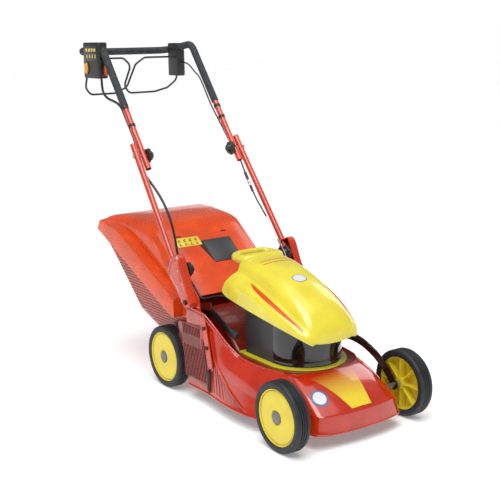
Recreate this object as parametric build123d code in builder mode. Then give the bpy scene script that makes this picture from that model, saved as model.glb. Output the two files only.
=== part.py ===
from build123d import *
import os
from math import atan2, cos, degrees, hypot, radians, sin, tan

os.makedirs("parts", exist_ok=True)

# Walk-behind electric rotary mower with a hard grass box. Millimetres.
# -Y is forward, +X is the operator's left, +Z is up, Z = 0 is the lawn. Left and right in names
# mean -X and +X, as seen from the front.

# ---------------------------------------------------------------- driving dimensions
wheel_diameter = 200.0
tyre_width = 45.0
wheelbase = 644.0
front_axle_y = -577.0
front_wheel_x = 224.5
rear_wheel_x = 195.5
axle_radius = 8.0
running_clearance = 0.05
body_gap = 0.5

blade_length = 400.0
blade_y = -342.0
blade_z = 62.0
deck_wall = 3.0
deck_bottom_z = 42.0
deck_crease_z = 100.0
deck_top_z = 172.0
deck_rear_y = -60.0
wing_outer_x = 203.0
wing_wall = 4.0
rear_wall_top_z = 295.0

motor_radius = 112.0
motor_centre_y = -387.0
motor_back_y = -242.0
motor_wall = 3.0
cover_wall = 3.0

tube_radius = 10.0
tube_wall = 1.5
sleeve_radius = 12.5
handle_x = 178.0
handle_slope = 53.0
fold_y = 218.0
fold_z = 732.0
crossbar_y = 655.0
crossbar_z = 1058.0
lower_tube_top_x = 200.5
lower_tube_base_x = 212.5
tilt_y = -99.0
tilt_z = 318.0
knob_radius = 24.0
bolt_radius = 4.0

bail_radius = 3.5
bail_axis_y = 568.0
bail_axis_z = 1036.0

box_wall = 3.0

cable_radius = 4.0
clutch_cable_radius = 2.5

# ---------------------------------------------------------------- worked-out places
wheel_radius = wheel_diameter / 2
axle_z = wheel_radius
rear_axle_y = front_axle_y + wheelbase
slope = radians(handle_slope)
handle_dy = cos(slope)
handle_dz = sin(slope)


def on_handle(distance):
    """Point (y, z) on the upper handle's straight line, measured up from the fold axis."""
    return fold_y + distance * handle_dy, fold_z + distance * handle_dz


def both(points):
    """A closed outline from the points of its +X half, given from the front round to the rear."""
    return points + [(-x, y) for x, y in reversed(points) if x > 0.001]


# ---------------------------------------------------------------- wheels
rim_radius = wheel_radius * 0.80
disc_face_radius = 74.0
hub_radius = 17.0
groove_count = 3
groove_depth = 3.0
cap_radius = 18.0
cap_thickness = 6.0


def make_tyre(centre_x, centre_y):
    with BuildPart() as tyre:
        with BuildSketch(Plane.XZ.offset(-centre_y)):
            with BuildLine():
                half = tyre_width / 2
                shoulder = 9.0
                Polyline(
                    (centre_x - half, axle_z + rim_radius),
                    (centre_x - half, axle_z + wheel_radius - shoulder),
                    (centre_x - half + shoulder, axle_z + wheel_radius),
                    (centre_x + half - shoulder, axle_z + wheel_radius),
                    (centre_x + half, axle_z + wheel_radius - shoulder),
                    (centre_x + half, axle_z + rim_radius),
                    close=True,
                )
            make_face()
            pitch = (tyre_width - 2 * shoulder) / groove_count
            for index in range(groove_count):
                groove_x = centre_x + (index - (groove_count - 1) / 2) * pitch
                with Locations((groove_x, axle_z + wheel_radius)):
                    Rectangle(2.4, 2 * groove_depth, mode=Mode.SUBTRACT)
        revolve(axis=Axis((0, centre_y, axle_z), (1, 0, 0)))
    return tyre


def make_disc(centre_x, centre_y, bore):
    side = 1 if centre_x > 0 else -1
    half = tyre_width / 2
    with BuildPart() as disc:
        with BuildSketch(Plane.XZ.offset(-centre_y)):
            with BuildLine():
                Polyline(
                    (centre_x - side * (half - 4), axle_z + bore),
                    (centre_x - side * (half - 4), axle_z + hub_radius),
                    (centre_x + side * (half - 12), axle_z + hub_radius),
                    (centre_x + side * (half - 15), axle_z + rim_radius - 6),
                    (centre_x - side * (half - 6), axle_z + rim_radius - 5),
                    (centre_x - side * (half - 6), axle_z + rim_radius),
                    (centre_x + side * (half - 4), axle_z + rim_radius),
                    (centre_x + side * (half - 9), axle_z + disc_face_radius),
                    (centre_x + side * (half - 5), axle_z + disc_face_radius - 3),
                    (centre_x + side * (half - 2), axle_z + disc_face_radius * 0.5),
                    (centre_x + side * (half - 1.5), axle_z + cap_radius + 3),
                    (centre_x + side * (half - 7), axle_z + cap_radius + 2),
                    (centre_x + side * (half - 7), axle_z + bore),
                    close=True,
                )
            make_face()
        revolve(axis=Axis((0, centre_y, axle_z), (1, 0, 0)))
    return disc


wheel_places = {
    "front_left": (-front_wheel_x, front_axle_y),
    "front_right": (front_wheel_x, front_axle_y),
    "rear_left": (-rear_wheel_x, rear_axle_y),
    "rear_right": (rear_wheel_x, rear_axle_y),
}
wheel_bore = axle_radius + running_clearance
for place_name, (wheel_x, wheel_y) in wheel_places.items():
    tyre = make_tyre(wheel_x, wheel_y)
    tyre.part.label = f"tyre_{place_name}"
    export_step(tyre.part, f"parts/tyre_{place_name}.step")
    disc = make_disc(wheel_x, wheel_y, wheel_bore)
    disc.part.label = f"wheel_disc_{place_name}"
    export_step(disc.part, f"parts/wheel_disc_{place_name}.step")


def make_caps(centre_x, centre_y):
    face_x = centre_x + tyre_width / 2 - 7 + body_gap
    with BuildPart() as caps:
        for side in (-1, 1):
            with BuildSketch(Plane.YZ.offset(side * face_x)):
                with Locations((centre_y, axle_z)):
                    Circle(cap_radius)
            extrude(amount=side * cap_thickness)
    return caps


hub_caps_front = make_caps(front_wheel_x, front_axle_y)
hub_caps_front.part.label = "hub_caps_front"
export_step(hub_caps_front.part, "parts/hub_caps_front.step")

hub_caps_rear = make_caps(rear_wheel_x, rear_axle_y)
hub_caps_rear.part.label = "hub_caps_rear"
export_step(hub_caps_rear.part, "parts/hub_caps_rear.step")

# ---------------------------------------------------------------- front axle and its arm
front_stub_end = front_wheel_x + tyre_width / 2 - 7 + body_gap
arm_inner_x = 183.0
arm_thickness = 5.0
arm_width = 24.0
front_pivot_y = -240.0
front_pivot_z = 195.0
arm_knee = (-500.0, 170.0)
arm_shoulder = (-387.0, 203.0)
pivot_pin_radius = 6.0

with BuildPart() as front_axle:
    with BuildSketch(Plane.YZ.offset(-front_stub_end)):
        with Locations((front_axle_y, axle_z)):
            Circle(axle_radius)
    extrude(amount=2 * front_stub_end)
front_axle.part.label = "front_axle"
export_step(front_axle.part, "parts/front_axle.step")

with BuildPart() as front_arm:
    with BuildSketch(Plane.YZ.offset(arm_inner_x)):
        with BuildLine():
            bend = ThreePointArc((front_axle_y, axle_z), arm_knee, arm_shoulder)
            Line(bend @ 1, (front_pivot_y, front_pivot_z))
        trace(line_width=arm_width)
        with Locations((front_axle_y, axle_z), (front_pivot_y, front_pivot_z)):
            Circle(arm_width * 0.62)
        with Locations((front_axle_y, axle_z)):
            Circle(axle_radius, mode=Mode.SUBTRACT)
        with Locations((front_pivot_y, front_pivot_z)):
            Circle(pivot_pin_radius + running_clearance, mode=Mode.SUBTRACT)
    extrude(amount=arm_thickness)
front_arm.part.label = "front_arm"
export_step(front_arm.part, "parts/front_arm.step")

with BuildPart() as axle_plate:
    with BuildSketch(Plane.YZ.offset(-arm_inner_x - arm_thickness)):
        with Locations((front_axle_y - 6, axle_z - 8)):
            RectangleRounded(34, 62, 10)
        with Locations((front_axle_y, axle_z)):
            Circle(axle_radius, mode=Mode.SUBTRACT)
    extrude(amount=arm_thickness)
axle_plate.part.label = "front_axle_plate"
export_step(axle_plate.part, "parts/front_axle_plate.step")

# ---------------------------------------------------------------- deck
# Half outlines at three levels, front centre first. The flank waists in beside the front wheels
# and swells round the blade circle.
bottom_half = [
    (0, -664), (60, -661), (118, -652), (154, -640), (158, -560), (186, -490), (212, -420),
    (218, -330), (212, -250), (wing_outer_x, -190), (wing_outer_x, deck_rear_y),
]
crease_half = [
    (0, -657), (60, -654), (114, -646), (147, -634), (150, -556), (172, -490), (194, -420),
    (201, -330), (202, -250), (wing_outer_x, -190), (wing_outer_x, deck_rear_y),
]
top_half = [
    (0, -520), (42, -516), (84, -506), (118, -488), (134, -462), (143, -436), (150, -400),
    (156, -340), (168, -270), (wing_outer_x - 8, -190), (wing_outer_x - 2, deck_rear_y),
]
lip_width = 5.0
lip_height = 4.0


def deck_body(inset, floor_z):
    """The lofted deck, shrunk by inset all round and under its top."""
    levels = [
        (floor_z, bottom_half),
        (deck_crease_z, crease_half),
        (deck_top_z - inset, top_half),
    ]
    with BuildPart() as body:
        for level_z, half in levels:
            with BuildSketch(Plane.XY.offset(level_z)):
                with BuildLine():
                    Polyline(*both(half), close=True)
                make_face()
                if inset > 0:
                    offset(amount=-inset, kind=Kind.INTERSECTION, mode=Mode.REPLACE)
        loft(ruled=True)
    return body.part


wing_plan = [(160, -285), (wing_outer_x, -150), (wing_outer_x, deck_rear_y)]
rim_low_z = deck_top_z + 2
hood_half = 122.0
hood_profile = [(-225, deck_top_z - 2), (-110, 268), (deck_rear_y, 282), (deck_rear_y, deck_top_z - 2)]
chute_half = 112.0
shaft_hole_radius = 16.0
belt_slot_half = 44.0
belt_z = 110.0
belt_height = 8.0
notch_half = 15.0
notch_top_z = 124.0
lug_x = 140.0
lug_thickness = 4.0
rear_pivot_y = -22.0
rear_pivot_z = 122.0

with BuildPart() as deck:
    add(deck_body(0, deck_bottom_z))
    # side wings that rise behind the motor
    for side in (-1, 1):
        with BuildSketch(Plane.XY.offset(deck_top_z - 8)):
            with BuildLine():
                outer = [(side * x, y) for x, y in wing_plan]
                inner = [(side * (x - wing_wall), y) for x, y in reversed(wing_plan)]
                Polyline(*(outer + inner), close=True)
            make_face()
        extrude(amount=rear_wall_top_z - deck_top_z + 8)
    # sloping rim line over both wings
    with BuildSketch(Plane.YZ.offset(-wing_outer_x - 1)):
        with BuildLine():
            Polyline(
                (-300, rim_low_z - 6), (-285, rim_low_z), (-150, rear_wall_top_z),
                (-150, rear_wall_top_z + 20), (-300, rear_wall_top_z + 20), close=True,
            )
        make_face()
    extrude(amount=2 * wing_outer_x + 2, mode=Mode.SUBTRACT)
    # rear wall and chute hood
    with BuildSketch(Plane.XY.offset(deck_top_z - 8)):
        with Locations((0, deck_rear_y - wing_wall / 2)):
            Rectangle(2 * (wing_outer_x - 1), wing_wall)
    extrude(amount=rear_wall_top_z - deck_top_z + 8)
    with BuildSketch(Plane.YZ.offset(-hood_half)):
        with BuildLine():
            Polyline(*hood_profile, close=True)
        make_face()
    extrude(amount=2 * hood_half)
    # lower lip that stiffens the rim
    with BuildSketch(Plane.XY.offset(deck_bottom_z)):
        with BuildLine():
            Polyline(*both(bottom_half[4:]), close=True)
        make_face()
        offset(amount=lip_width, kind=Kind.INTERSECTION, mode=Mode.REPLACE)
        with Locations((0, -600)):
            Rectangle(500, 90, mode=Mode.SUBTRACT)
        with Locations((0, deck_rear_y + 20)):
            Rectangle(500, 40, mode=Mode.SUBTRACT)
    extrude(amount=lip_height)
    # lugs for the rear axle beam
    for side in (-1, 1):
        with BuildSketch(Plane.YZ.offset(side * lug_x)):
            with Locations(((deck_rear_y + rear_pivot_y) / 2 - 4, rear_pivot_z)):
                Rectangle(rear_pivot_y - deck_rear_y + 10, 28)
            with Locations((rear_pivot_y, rear_pivot_z)):
                Circle(14)
        extrude(amount=side * lug_thickness)
    # boss for the front arm
    with BuildSketch(Plane.YZ.offset(wing_outer_x - 35)):
        with Locations((front_pivot_y, front_pivot_z)):
            Circle(13)
    extrude(amount=arm_inner_x - body_gap - wing_outer_x + 35)
    # blade chamber
    add(deck_body(deck_wall, deck_bottom_z - 1), mode=Mode.SUBTRACT)
    # chute passage through the top and the rear wall
    with BuildSketch(Plane.YZ.offset(-chute_half)):
        with BuildLine():
            Polyline(
                (-205, deck_top_z - 20), (-205, deck_top_z + 8), (-108, 262),
                (deck_rear_y + 1, 275), (deck_rear_y + 1, 136), (-130, 136), (-205, deck_top_z - 20),
            )
        make_face()
    extrude(amount=2 * chute_half, mode=Mode.SUBTRACT)
    with BuildSketch(Plane.XZ.offset(-deck_rear_y - 1)):
        with Locations((0, belt_z + belt_height / 2)):
            Rectangle(2 * belt_slot_half, belt_height + 14)
    extrude(amount=12, mode=Mode.SUBTRACT)
    # motor shaft hole and slots for the front axle
    with BuildSketch(Plane.XY.offset(deck_top_z - 10)):
        with Locations((0, blade_y)):
            Circle(shaft_hole_radius)
    extrude(amount=20, mode=Mode.SUBTRACT)
    with BuildSketch(Plane.YZ.offset(-300)):
        with Locations((front_axle_y, (notch_top_z + 30) / 2)):
            Rectangle(2 * notch_half, notch_top_z - 30)
    extrude(amount=600, mode=Mode.SUBTRACT)
    # pivot holes
    with BuildSketch(Plane.YZ.offset(-lug_x - 20)):
        with Locations((rear_pivot_y, rear_pivot_z)):
            Circle(pivot_pin_radius)
    extrude(amount=2 * lug_x + 40, mode=Mode.SUBTRACT)
    with BuildSketch(Plane.YZ.offset(wing_outer_x - 60)):
        with Locations((front_pivot_y, front_pivot_z)):
            Circle(pivot_pin_radius)
    extrude(amount=90, mode=Mode.SUBTRACT)
deck.part.label = "deck"
export_step(deck.part, "parts/deck.step")

# ribbed side panels in front of the rear wheels
grille_thickness = 6.0
grille_outline = [(-186, 62), (-45, 70), (-45, 135), (-16, 190), (-14, 236), (-150, 250), (-186, 210)]
rib_pitch = 10.0
bar_holes = [(-174.0, 250.0), (-188.0, 192.0)]
bar_bolt_radius = 4.0

with BuildPart() as side_grilles:
    for side in (-1, 1):
        with BuildSketch(Plane.YZ.offset(side * wing_outer_x)):
            with BuildLine():
                Polyline(*grille_outline, close=True)
            make_face()
            with Locations(*bar_holes):
                Circle(bar_bolt_radius, mode=Mode.SUBTRACT)
        extrude(amount=side * grille_thickness)
        with BuildSketch(Plane.YZ.offset(side * (wing_outer_x + grille_thickness))):
            for index in range(12):
                with Locations(Location((-176 + index * rib_pitch, 150, 0), (0, 0, 1), -8)):
                    Rectangle(rib_pitch * 0.45, 260)
        extrude(amount=-side * grille_thickness * 0.5, mode=Mode.SUBTRACT)
side_grilles.part.label = "side_grilles"
export_step(side_grilles.part, "parts/side_grilles.step")

# flat bars with two bolts each, on the outside of the panels
bar_x = wing_outer_x + grille_thickness
bar_thickness = 4.0
bar_top = (-166.0, 282.0)
bar_bottom = (-202.0, 142.0)
bar_width = 24.0

with BuildPart() as side_bars:
    for side in (-1, 1):
        with BuildSketch(Plane.YZ.offset(side * bar_x)):
            with BuildLine():
                Line(bar_top, bar_bottom)
            trace(line_width=bar_width)
            with Locations(bar_bottom):
                Circle(bar_width / 2)
            with Locations(*bar_holes):
                Circle(bar_bolt_radius, mode=Mode.SUBTRACT)
        extrude(amount=side * bar_thickness)
side_bars.part.label = "side_bars"
export_step(side_bars.part, "parts/side_bars.step")

# ---------------------------------------------------------------- front emblem plate
emblem_slope = atan2(deck_top_z - deck_crease_z, 137)
with BuildPart() as front_emblem:
    emblem_plane = Plane(
        origin=(0, -657, deck_crease_z), x_dir=(1, 0, 0),
        z_dir=(0, -sin(emblem_slope), cos(emblem_slope)),
    )
    with BuildSketch(emblem_plane.offset(0.6)):
        with BuildLine():
            Polyline((-35, 16), (35, 16), (62, 96), (40, 140), (-40, 140), (-62, 96), close=True)
        make_face()
    extrude(amount=1.5)
front_emblem.part.label = "front_emblem"
export_step(front_emblem.part, "parts/front_emblem.step")

# ---------------------------------------------------------------- motor base, housing and stator
ring_height = 5.0
ring_width = 15.0


def u_outline(radius, back_y):
    """Outline with a round front and a square back, for the motor and its base."""
    with BuildLine() as outline:
        arc = ThreePointArc(
            (-radius, motor_centre_y), (0, motor_centre_y - radius), (radius, motor_centre_y)
        )
        Polyline(arc @ 1, (radius, back_y), (-radius, back_y), arc @ 0)
    return outline


with BuildPart() as motor_base_ring:
    with BuildSketch(Plane.XY.offset(deck_top_z)):
        add(u_outline(motor_radius + ring_width, motor_back_y + ring_width))
        make_face()
        with Locations((0, blade_y)):
            Circle(shaft_hole_radius, mode=Mode.SUBTRACT)
    extrude(amount=ring_height)
motor_base_ring.part.label = "motor_base_ring"
export_step(motor_base_ring.part, "parts/motor_base_ring.step")

housing_base_z = deck_top_z + ring_height
cover_slope = 0.2236
cover_nose_y = -532.0
cover_nose_z = 250.0
housing_lap = 16.0


def cover_edge_z(y):
    """Height of the cover's lower edge."""
    return cover_nose_z + cover_slope * (y - cover_nose_y)


with BuildPart() as motor_housing:
    with BuildSketch(Plane.XY.offset(housing_base_z)):
        add(u_outline(motor_radius, motor_back_y))
        make_face()
    extrude(amount=170)
    with BuildSketch(Plane.XY.offset(housing_base_z + motor_wall)):
        add(u_outline(motor_radius - motor_wall, motor_back_y - motor_wall))
        make_face()
    extrude(amount=170, mode=Mode.SUBTRACT)
    with BuildSketch(Plane.YZ.offset(-motor_radius - 5)):
        with BuildLine():
            Polyline(
                (-560, cover_edge_z(-560) + housing_lap), (-200, cover_edge_z(-200) + housing_lap),
                (-200, 420), (-560, 420), close=True,
            )
        make_face()
    extrude(amount=2 * motor_radius + 10, mode=Mode.SUBTRACT)
    with BuildSketch(Plane.XY.offset(housing_base_z - 1)):
        with Locations((0, blade_y)):
            Circle(shaft_hole_radius)
    extrude(amount=10, mode=Mode.SUBTRACT)
motor_housing.part.label = "motor_housing"
export_step(motor_housing.part, "parts/motor_housing.step")

shaft_radius = 8.0
rotor_radius = 38.0
stator_gap = 1.5
stator_radius = 62.0
stator_low_z = housing_base_z + motor_wall
stator_high_z = 262.0
rotor_end_gap = 6.0
shaft_low_z = 50.0
shaft_length = 230.0

with BuildPart() as stator:
    with BuildSketch(Plane.XY.offset(stator_low_z)):
        with Locations((0, blade_y)):
            Circle(stator_radius)
            Circle(rotor_radius + stator_gap, mode=Mode.SUBTRACT)
    extrude(amount=stator_high_z - stator_low_z)
stator.part.label = "stator"
export_step(stator.part, "parts/stator.step")

with BuildPart() as rotor:
    with BuildSketch(Plane.XY.offset(shaft_low_z)):
        with Locations((0, blade_y)):
            Circle(shaft_radius)
    extrude(amount=shaft_length)
    with BuildSketch(Plane.XY.offset(stator_low_z + rotor_end_gap)):
        with Locations((0, blade_y)):
            Circle(rotor_radius)
    extrude(amount=stator_high_z - stator_low_z - 2 * rotor_end_gap)
rotor.part.label = "rotor"
export_step(rotor.part, "parts/rotor.step")

pulley_radius = 20.0
pulley_flange = 27.0
flange_wall = 2.0
belt_margin = 3.0
pulley_low_z = belt_z - belt_margin
pulley_high_z = belt_z + belt_height + belt_margin
groove_height = pulley_high_z - pulley_low_z - 2 * flange_wall


def make_pulley(centre, core_radius, flange_radius, bore):
    with BuildPart() as pulley:
        with BuildSketch(Plane.XY.offset(pulley_low_z)):
            with Locations(centre):
                Circle(flange_radius)
                Circle(bore, mode=Mode.SUBTRACT)
        extrude(amount=pulley_high_z - pulley_low_z)
        with BuildSketch(Plane.XY.offset(pulley_low_z + flange_wall)):
            with Locations(centre):
                Circle(flange_radius + 1)
                Circle(core_radius, mode=Mode.SUBTRACT)
        extrude(amount=groove_height, mode=Mode.SUBTRACT)
    return pulley


motor_pulley = make_pulley((0, blade_y), pulley_radius, pulley_flange, shaft_radius)
motor_pulley.part.label = "motor_pulley"
export_step(motor_pulley.part, "parts/motor_pulley.step")

# ---------------------------------------------------------------- blade
blade_width = 46.0
blade_thickness = 4.0
holder_radius = 30.0
holder_flange = 12.0
holder_neck_radius = 16.0
holder_neck = 18.0
vane_length = 56.0
vane_width = 12.0
vane_height = 14.0
vane_end_gap = 36.0
vane_edge_gap = 7.0
blade_bolt_radius = 17.0
blade_bolt_height = 11.0

with BuildPart() as blade_holder:
    with BuildSketch(Plane.XY.offset(blade_z + blade_thickness)):
        with Locations((0, blade_y)):
            Circle(holder_radius)
            Circle(shaft_radius, mode=Mode.SUBTRACT)
    extrude(amount=holder_flange)
    with BuildSketch(Plane.XY.offset(blade_z + blade_thickness + holder_flange)):
        with Locations((0, blade_y)):
            Circle(holder_neck_radius)
            Circle(shaft_radius, mode=Mode.SUBTRACT)
    extrude(amount=holder_neck)
blade_holder.part.label = "blade_holder"
export_step(blade_holder.part, "parts/blade_holder.step")

with BuildPart() as blade:
    with BuildSketch(Plane.XY.offset(blade_z)):
        with Locations((0, blade_y)):
            Rectangle(blade_length, blade_width)
            Circle(blade_length / 2, mode=Mode.INTERSECT)
            Circle(shaft_radius, mode=Mode.SUBTRACT)
    extrude(amount=blade_thickness)
    for side in (-1, 1):
        vane_x = side * (blade_length / 2 - vane_end_gap)
        vane_y = blade_y + side * (blade_width / 2 - vane_edge_gap)
        with BuildSketch(Plane.XY.offset(blade_z + blade_thickness)):
            with Locations((vane_x, vane_y)):
                Rectangle(vane_length, vane_width)
        extrude(amount=vane_height, taper=18)
blade.part.label = "blade"
export_step(blade.part, "parts/blade.step")

with BuildPart() as blade_bolt:
    with BuildSketch(Plane.XY.offset(blade_z)):
        with Locations((0, blade_y)):
            RegularPolygon(blade_bolt_radius, 6)
    extrude(amount=-blade_bolt_height)
    with BuildSketch(Plane.XY.offset(shaft_low_z)):
        with Locations((0, blade_y)):
            Circle(shaft_radius)
    extrude(amount=blade_z - shaft_low_z + blade_thickness, mode=Mode.SUBTRACT)
blade_bolt.part.label = "blade_bolt"
export_step(blade_bolt.part, "parts/blade_bolt.step")

# ---------------------------------------------------------------- rear axle, gearbox and belt
beam_radius = 13.0
beam_half = 166.0
drive_radius = 8.0
crank_x = lug_x + lug_thickness + body_gap
crank_thickness = 5.0
crank_width = 24.0
crank_eye_radius = 16.0
gear_low_z = 70.0
gear_high_z = 132.0
gear_body = (78.0, 76.0)
gear_body_y = 63.0
gear_nose = (50.0, 76.0)
gear_nose_y = 2.0
gear_corner = 12.0
gear_bore_half = 60.0
input_bore_depth = 8.0
input_y = -12.0
input_pulley_radius = 28.0
input_shaft_radius = 6.0

with BuildPart() as rear_axle_beam:
    with BuildSketch(Plane.YZ.offset(-beam_half)):
        with Locations((rear_axle_y, axle_z)):
            Circle(beam_radius)
            Circle(drive_radius + running_clearance, mode=Mode.SUBTRACT)
    extrude(amount=2 * beam_half)
    for side in (-1, 1):
        with BuildSketch(Plane.YZ.offset(side * crank_x)):
            with BuildLine():
                Line((rear_axle_y, axle_z), (rear_pivot_y, rear_pivot_z))
            trace(line_width=crank_width)
            with Locations((rear_axle_y, axle_z), (rear_pivot_y, rear_pivot_z)):
                Circle(crank_eye_radius)
            with Locations((rear_axle_y, axle_z)):
                Circle(drive_radius + running_clearance, mode=Mode.SUBTRACT)
            with Locations((rear_pivot_y, rear_pivot_z)):
                Circle(pivot_pin_radius + running_clearance, mode=Mode.SUBTRACT)
        extrude(amount=side * crank_thickness)
rear_axle_beam.part.label = "rear_axle_beam"
export_step(rear_axle_beam.part, "parts/rear_axle_beam.step")

with BuildPart() as gearbox:
    with BuildSketch(Plane.XY.offset(gear_low_z)):
        with Locations((0, gear_body_y)):
            RectangleRounded(*gear_body, gear_corner)
    extrude(amount=gear_high_z - gear_low_z)
    with BuildSketch(Plane.XY.offset(gear_low_z)):
        with Locations((0, gear_nose_y)):
            RectangleRounded(*gear_nose, gear_corner)
    extrude(amount=belt_z - 8 - gear_low_z)
    with BuildSketch(Plane.YZ.offset(-gear_bore_half)):
        with Locations((rear_axle_y, axle_z)):
            Circle(beam_radius)
    extrude(amount=2 * gear_bore_half, mode=Mode.SUBTRACT)
    with BuildSketch(Plane.XY.offset(gear_low_z + input_bore_depth)):
        with Locations((0, input_y)):
            Circle(input_shaft_radius + running_clearance)
    extrude(amount=gear_high_z - gear_low_z, mode=Mode.SUBTRACT)
gearbox.part.label = "gearbox"
export_step(gearbox.part, "parts/gearbox.step")

drive_end = rear_wheel_x + tyre_width / 2 - 7 + body_gap
with BuildPart() as drive_shaft:
    with BuildSketch(Plane.YZ.offset(-drive_end)):
        with Locations((rear_axle_y, axle_z)):
            Circle(drive_radius)
    extrude(amount=2 * drive_end)
drive_shaft.part.label = "drive_shaft"
export_step(drive_shaft.part, "parts/drive_shaft.step")

input_flange = input_pulley_radius + 7
with BuildPart() as input_wheel:
    shaft_foot_z = gear_low_z + input_bore_depth + body_gap
    with BuildSketch(Plane.XY.offset(shaft_foot_z)):
        with Locations((0, input_y)):
            Circle(input_shaft_radius)
    extrude(amount=pulley_high_z - shaft_foot_z)
    with BuildSketch(Plane.XY.offset(pulley_low_z)):
        with Locations((0, input_y)):
            Circle(input_flange)
    extrude(amount=pulley_high_z - pulley_low_z)
    with BuildSketch(Plane.XY.offset(pulley_low_z + flange_wall)):
        with Locations((0, input_y)):
            Circle(input_flange + 1)
            Circle(input_pulley_radius, mode=Mode.SUBTRACT)
    extrude(amount=groove_height, mode=Mode.SUBTRACT)
input_wheel.part.label = "input_pulley"
export_step(input_wheel.part, "parts/input_pulley.step")

belt_thickness = 5.0
belt_clearance = 0.4
with BuildPart() as drive_belt:
    with BuildSketch(Plane.XY.offset(belt_z)):
        for extra, how in ((belt_clearance + belt_thickness, Mode.ADD), (belt_clearance, Mode.SUBTRACT)):
            with BuildSketch(Plane.XY, mode=Mode.PRIVATE) as loop:
                with Locations((0, blade_y)):
                    Circle(pulley_radius + extra)
                with Locations((0, input_y)):
                    Circle(input_pulley_radius + extra)
                make_hull()
            add(loop.sketch, mode=how)
    extrude(amount=belt_height)
drive_belt.part.label = "drive_belt"
export_step(drive_belt.part, "parts/drive_belt.step")

# idler arm that tightens the belt when the drive bail is pulled
idler_pivot = (78.0, -200.0)
idler_centre = (52.0, -130.0)
idler_radius = 14.0
idler_arm_width = 18.0
idler_arm_thickness = 4.0
idler_eye_radius = 11.0
idler_post_radius = 5.0
idler_pin_radius = 6.0
idler_arm_z = belt_z + belt_height + 6
with BuildPart() as clutch_arm:
    with BuildSketch(Plane.XY.offset(idler_arm_z)):
        with BuildLine():
            Line(idler_pivot, idler_centre)
        trace(line_width=idler_arm_width)
        with Locations(idler_pivot, idler_centre):
            Circle(idler_eye_radius)
        with Locations(idler_pivot):
            Circle(idler_post_radius + running_clearance, mode=Mode.SUBTRACT)
    extrude(amount=idler_arm_thickness)
    with BuildSketch(Plane.XY.offset(belt_z - 1)):
        with Locations(idler_centre):
            Circle(idler_radius)
    extrude(amount=belt_height + 2)
    with BuildSketch(Plane.XY.offset(belt_z + belt_height)):
        with Locations(idler_centre):
            Circle(idler_pin_radius)
    extrude(amount=8)
clutch_arm.part.label = "clutch_arm"
export_step(clutch_arm.part, "parts/clutch_arm.step")

# ---------------------------------------------------------------- motor cover
# Cross-sections: y, top height, half width of the top hump, half width at the lower edge.
cover_sections = [
    (-534.0, 272.0, 36.0, 62.0),
    (-508.0, 330.0, 58.0, 92.0),
    (-430.0, 385.0, 72.0, 122.0),
    (-310.0, 431.0, 79.0, 135.0),
    (-205.0, 452.0, 80.0, 136.0),
    (-146.0, 458.0, 78.0, 128.0),
]


def cover_section(y, top_z, hump_half, edge_half, inset):
    """Half outline of one cross-section, from the crown down to the lower edge."""
    edge_z = cover_edge_z(y)
    valley_z = edge_z + (top_z - edge_z) * 0.62
    ridge_z = edge_z + (top_z - edge_z) * 0.50
    half = [
        (0, top_z - inset),
        (hump_half * 0.7 - inset, top_z - 3 - inset),
        (hump_half - inset, top_z - 14 - inset),
        (hump_half + 6 - inset, valley_z - inset),
        (edge_half - 14 - inset, ridge_z - inset),
        (edge_half - inset, edge_z - (1 if inset else 0)),
    ]
    return half + [(-x, z) for x, z in reversed(half[1:])]


def cover_body(inset):
    with BuildPart() as body:
        for index, (y, top_z, hump_half, edge_half) in enumerate(cover_sections):
            shift = inset if index == 0 else (-inset if index == len(cover_sections) - 1 else 0)
            with BuildSketch(Plane.XZ.offset(-(y + shift))):
                with BuildLine():
                    Polyline(*cover_section(y, top_z, hump_half, edge_half, inset), close=True)
                make_face()
        loft(ruled=True)
    return body.part


grip_thickness = 24.0
grip_slot_half = 54.0
grip_low_z = 436.0

with BuildPart() as motor_cover:
    add(cover_body(0))
    # slanted rear edge of the skirt
    with BuildSketch(Plane.YZ.offset(-150)):
        with BuildLine():
            Polyline((-146, 330), (-200, 432), (-140, 432), (-140, 330), close=True)
        make_face()
    extrude(amount=300, mode=Mode.SUBTRACT)
    # carry handle behind the hump
    with BuildSketch(Plane.XY.offset(grip_low_z)):
        with Locations((0, -150)):
            RectangleRounded(162, 100, 28)
    extrude(amount=grip_thickness)
    add(cover_body(cover_wall), mode=Mode.SUBTRACT)
    with BuildSketch(Plane.XY.offset(grip_low_z - 40)):
        with Locations((0, -146)):
            RectangleRounded(2 * grip_slot_half, 40, 14)
    extrude(amount=120, mode=Mode.SUBTRACT)
motor_cover.part.label = "motor_cover"
export_step(motor_cover.part, "parts/motor_cover.step")

# ---------------------------------------------------------------- handle ears, brackets and tubes
ear_outer_x = wing_outer_x - wing_wall
ear_thickness = 4.0
lock_y = -56.0
lock_z = 408.0
ear_outline = [(-140, 250), (-70, 250), (-70, 300), (-22, 400), (-30, 428), (-52, 430), (lock_y, 416),
               (lock_y, 400), (-70, 380), (-125, 330)]

with BuildPart() as handle_ears:
    for side in (-1, 1):
        with BuildSketch(Plane.YZ.offset(side * (ear_outer_x - ear_thickness))):
            with BuildLine():
                Polyline(*ear_outline, close=True)
            make_face()
            with Locations((lock_y, lock_z)):
                Circle(bolt_radius + 0.5, mode=Mode.SUBTRACT)
            with Locations((tilt_y, tilt_z)):
                Circle(5, mode=Mode.SUBTRACT)
        extrude(amount=side * ear_thickness)
handle_ears.part.label = "handle_ears"
export_step(handle_ears.part, "parts/handle_ears.step")

lower_top = 45.0
lower_base = -440.0


def lower_rod(side, radius):
    """A solid rod along one lower tube."""
    top = Vector(side * lower_tube_top_x, *on_handle(lower_top))
    base = Vector(side * (lower_tube_base_x + 2), *on_handle(lower_base))
    with BuildPart() as rod:
        with BuildSketch(Plane(origin=base, z_dir=(top - base).normalized())):
            Circle(radius)
        extrude(amount=(top - base).length)
    return rod.part


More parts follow.
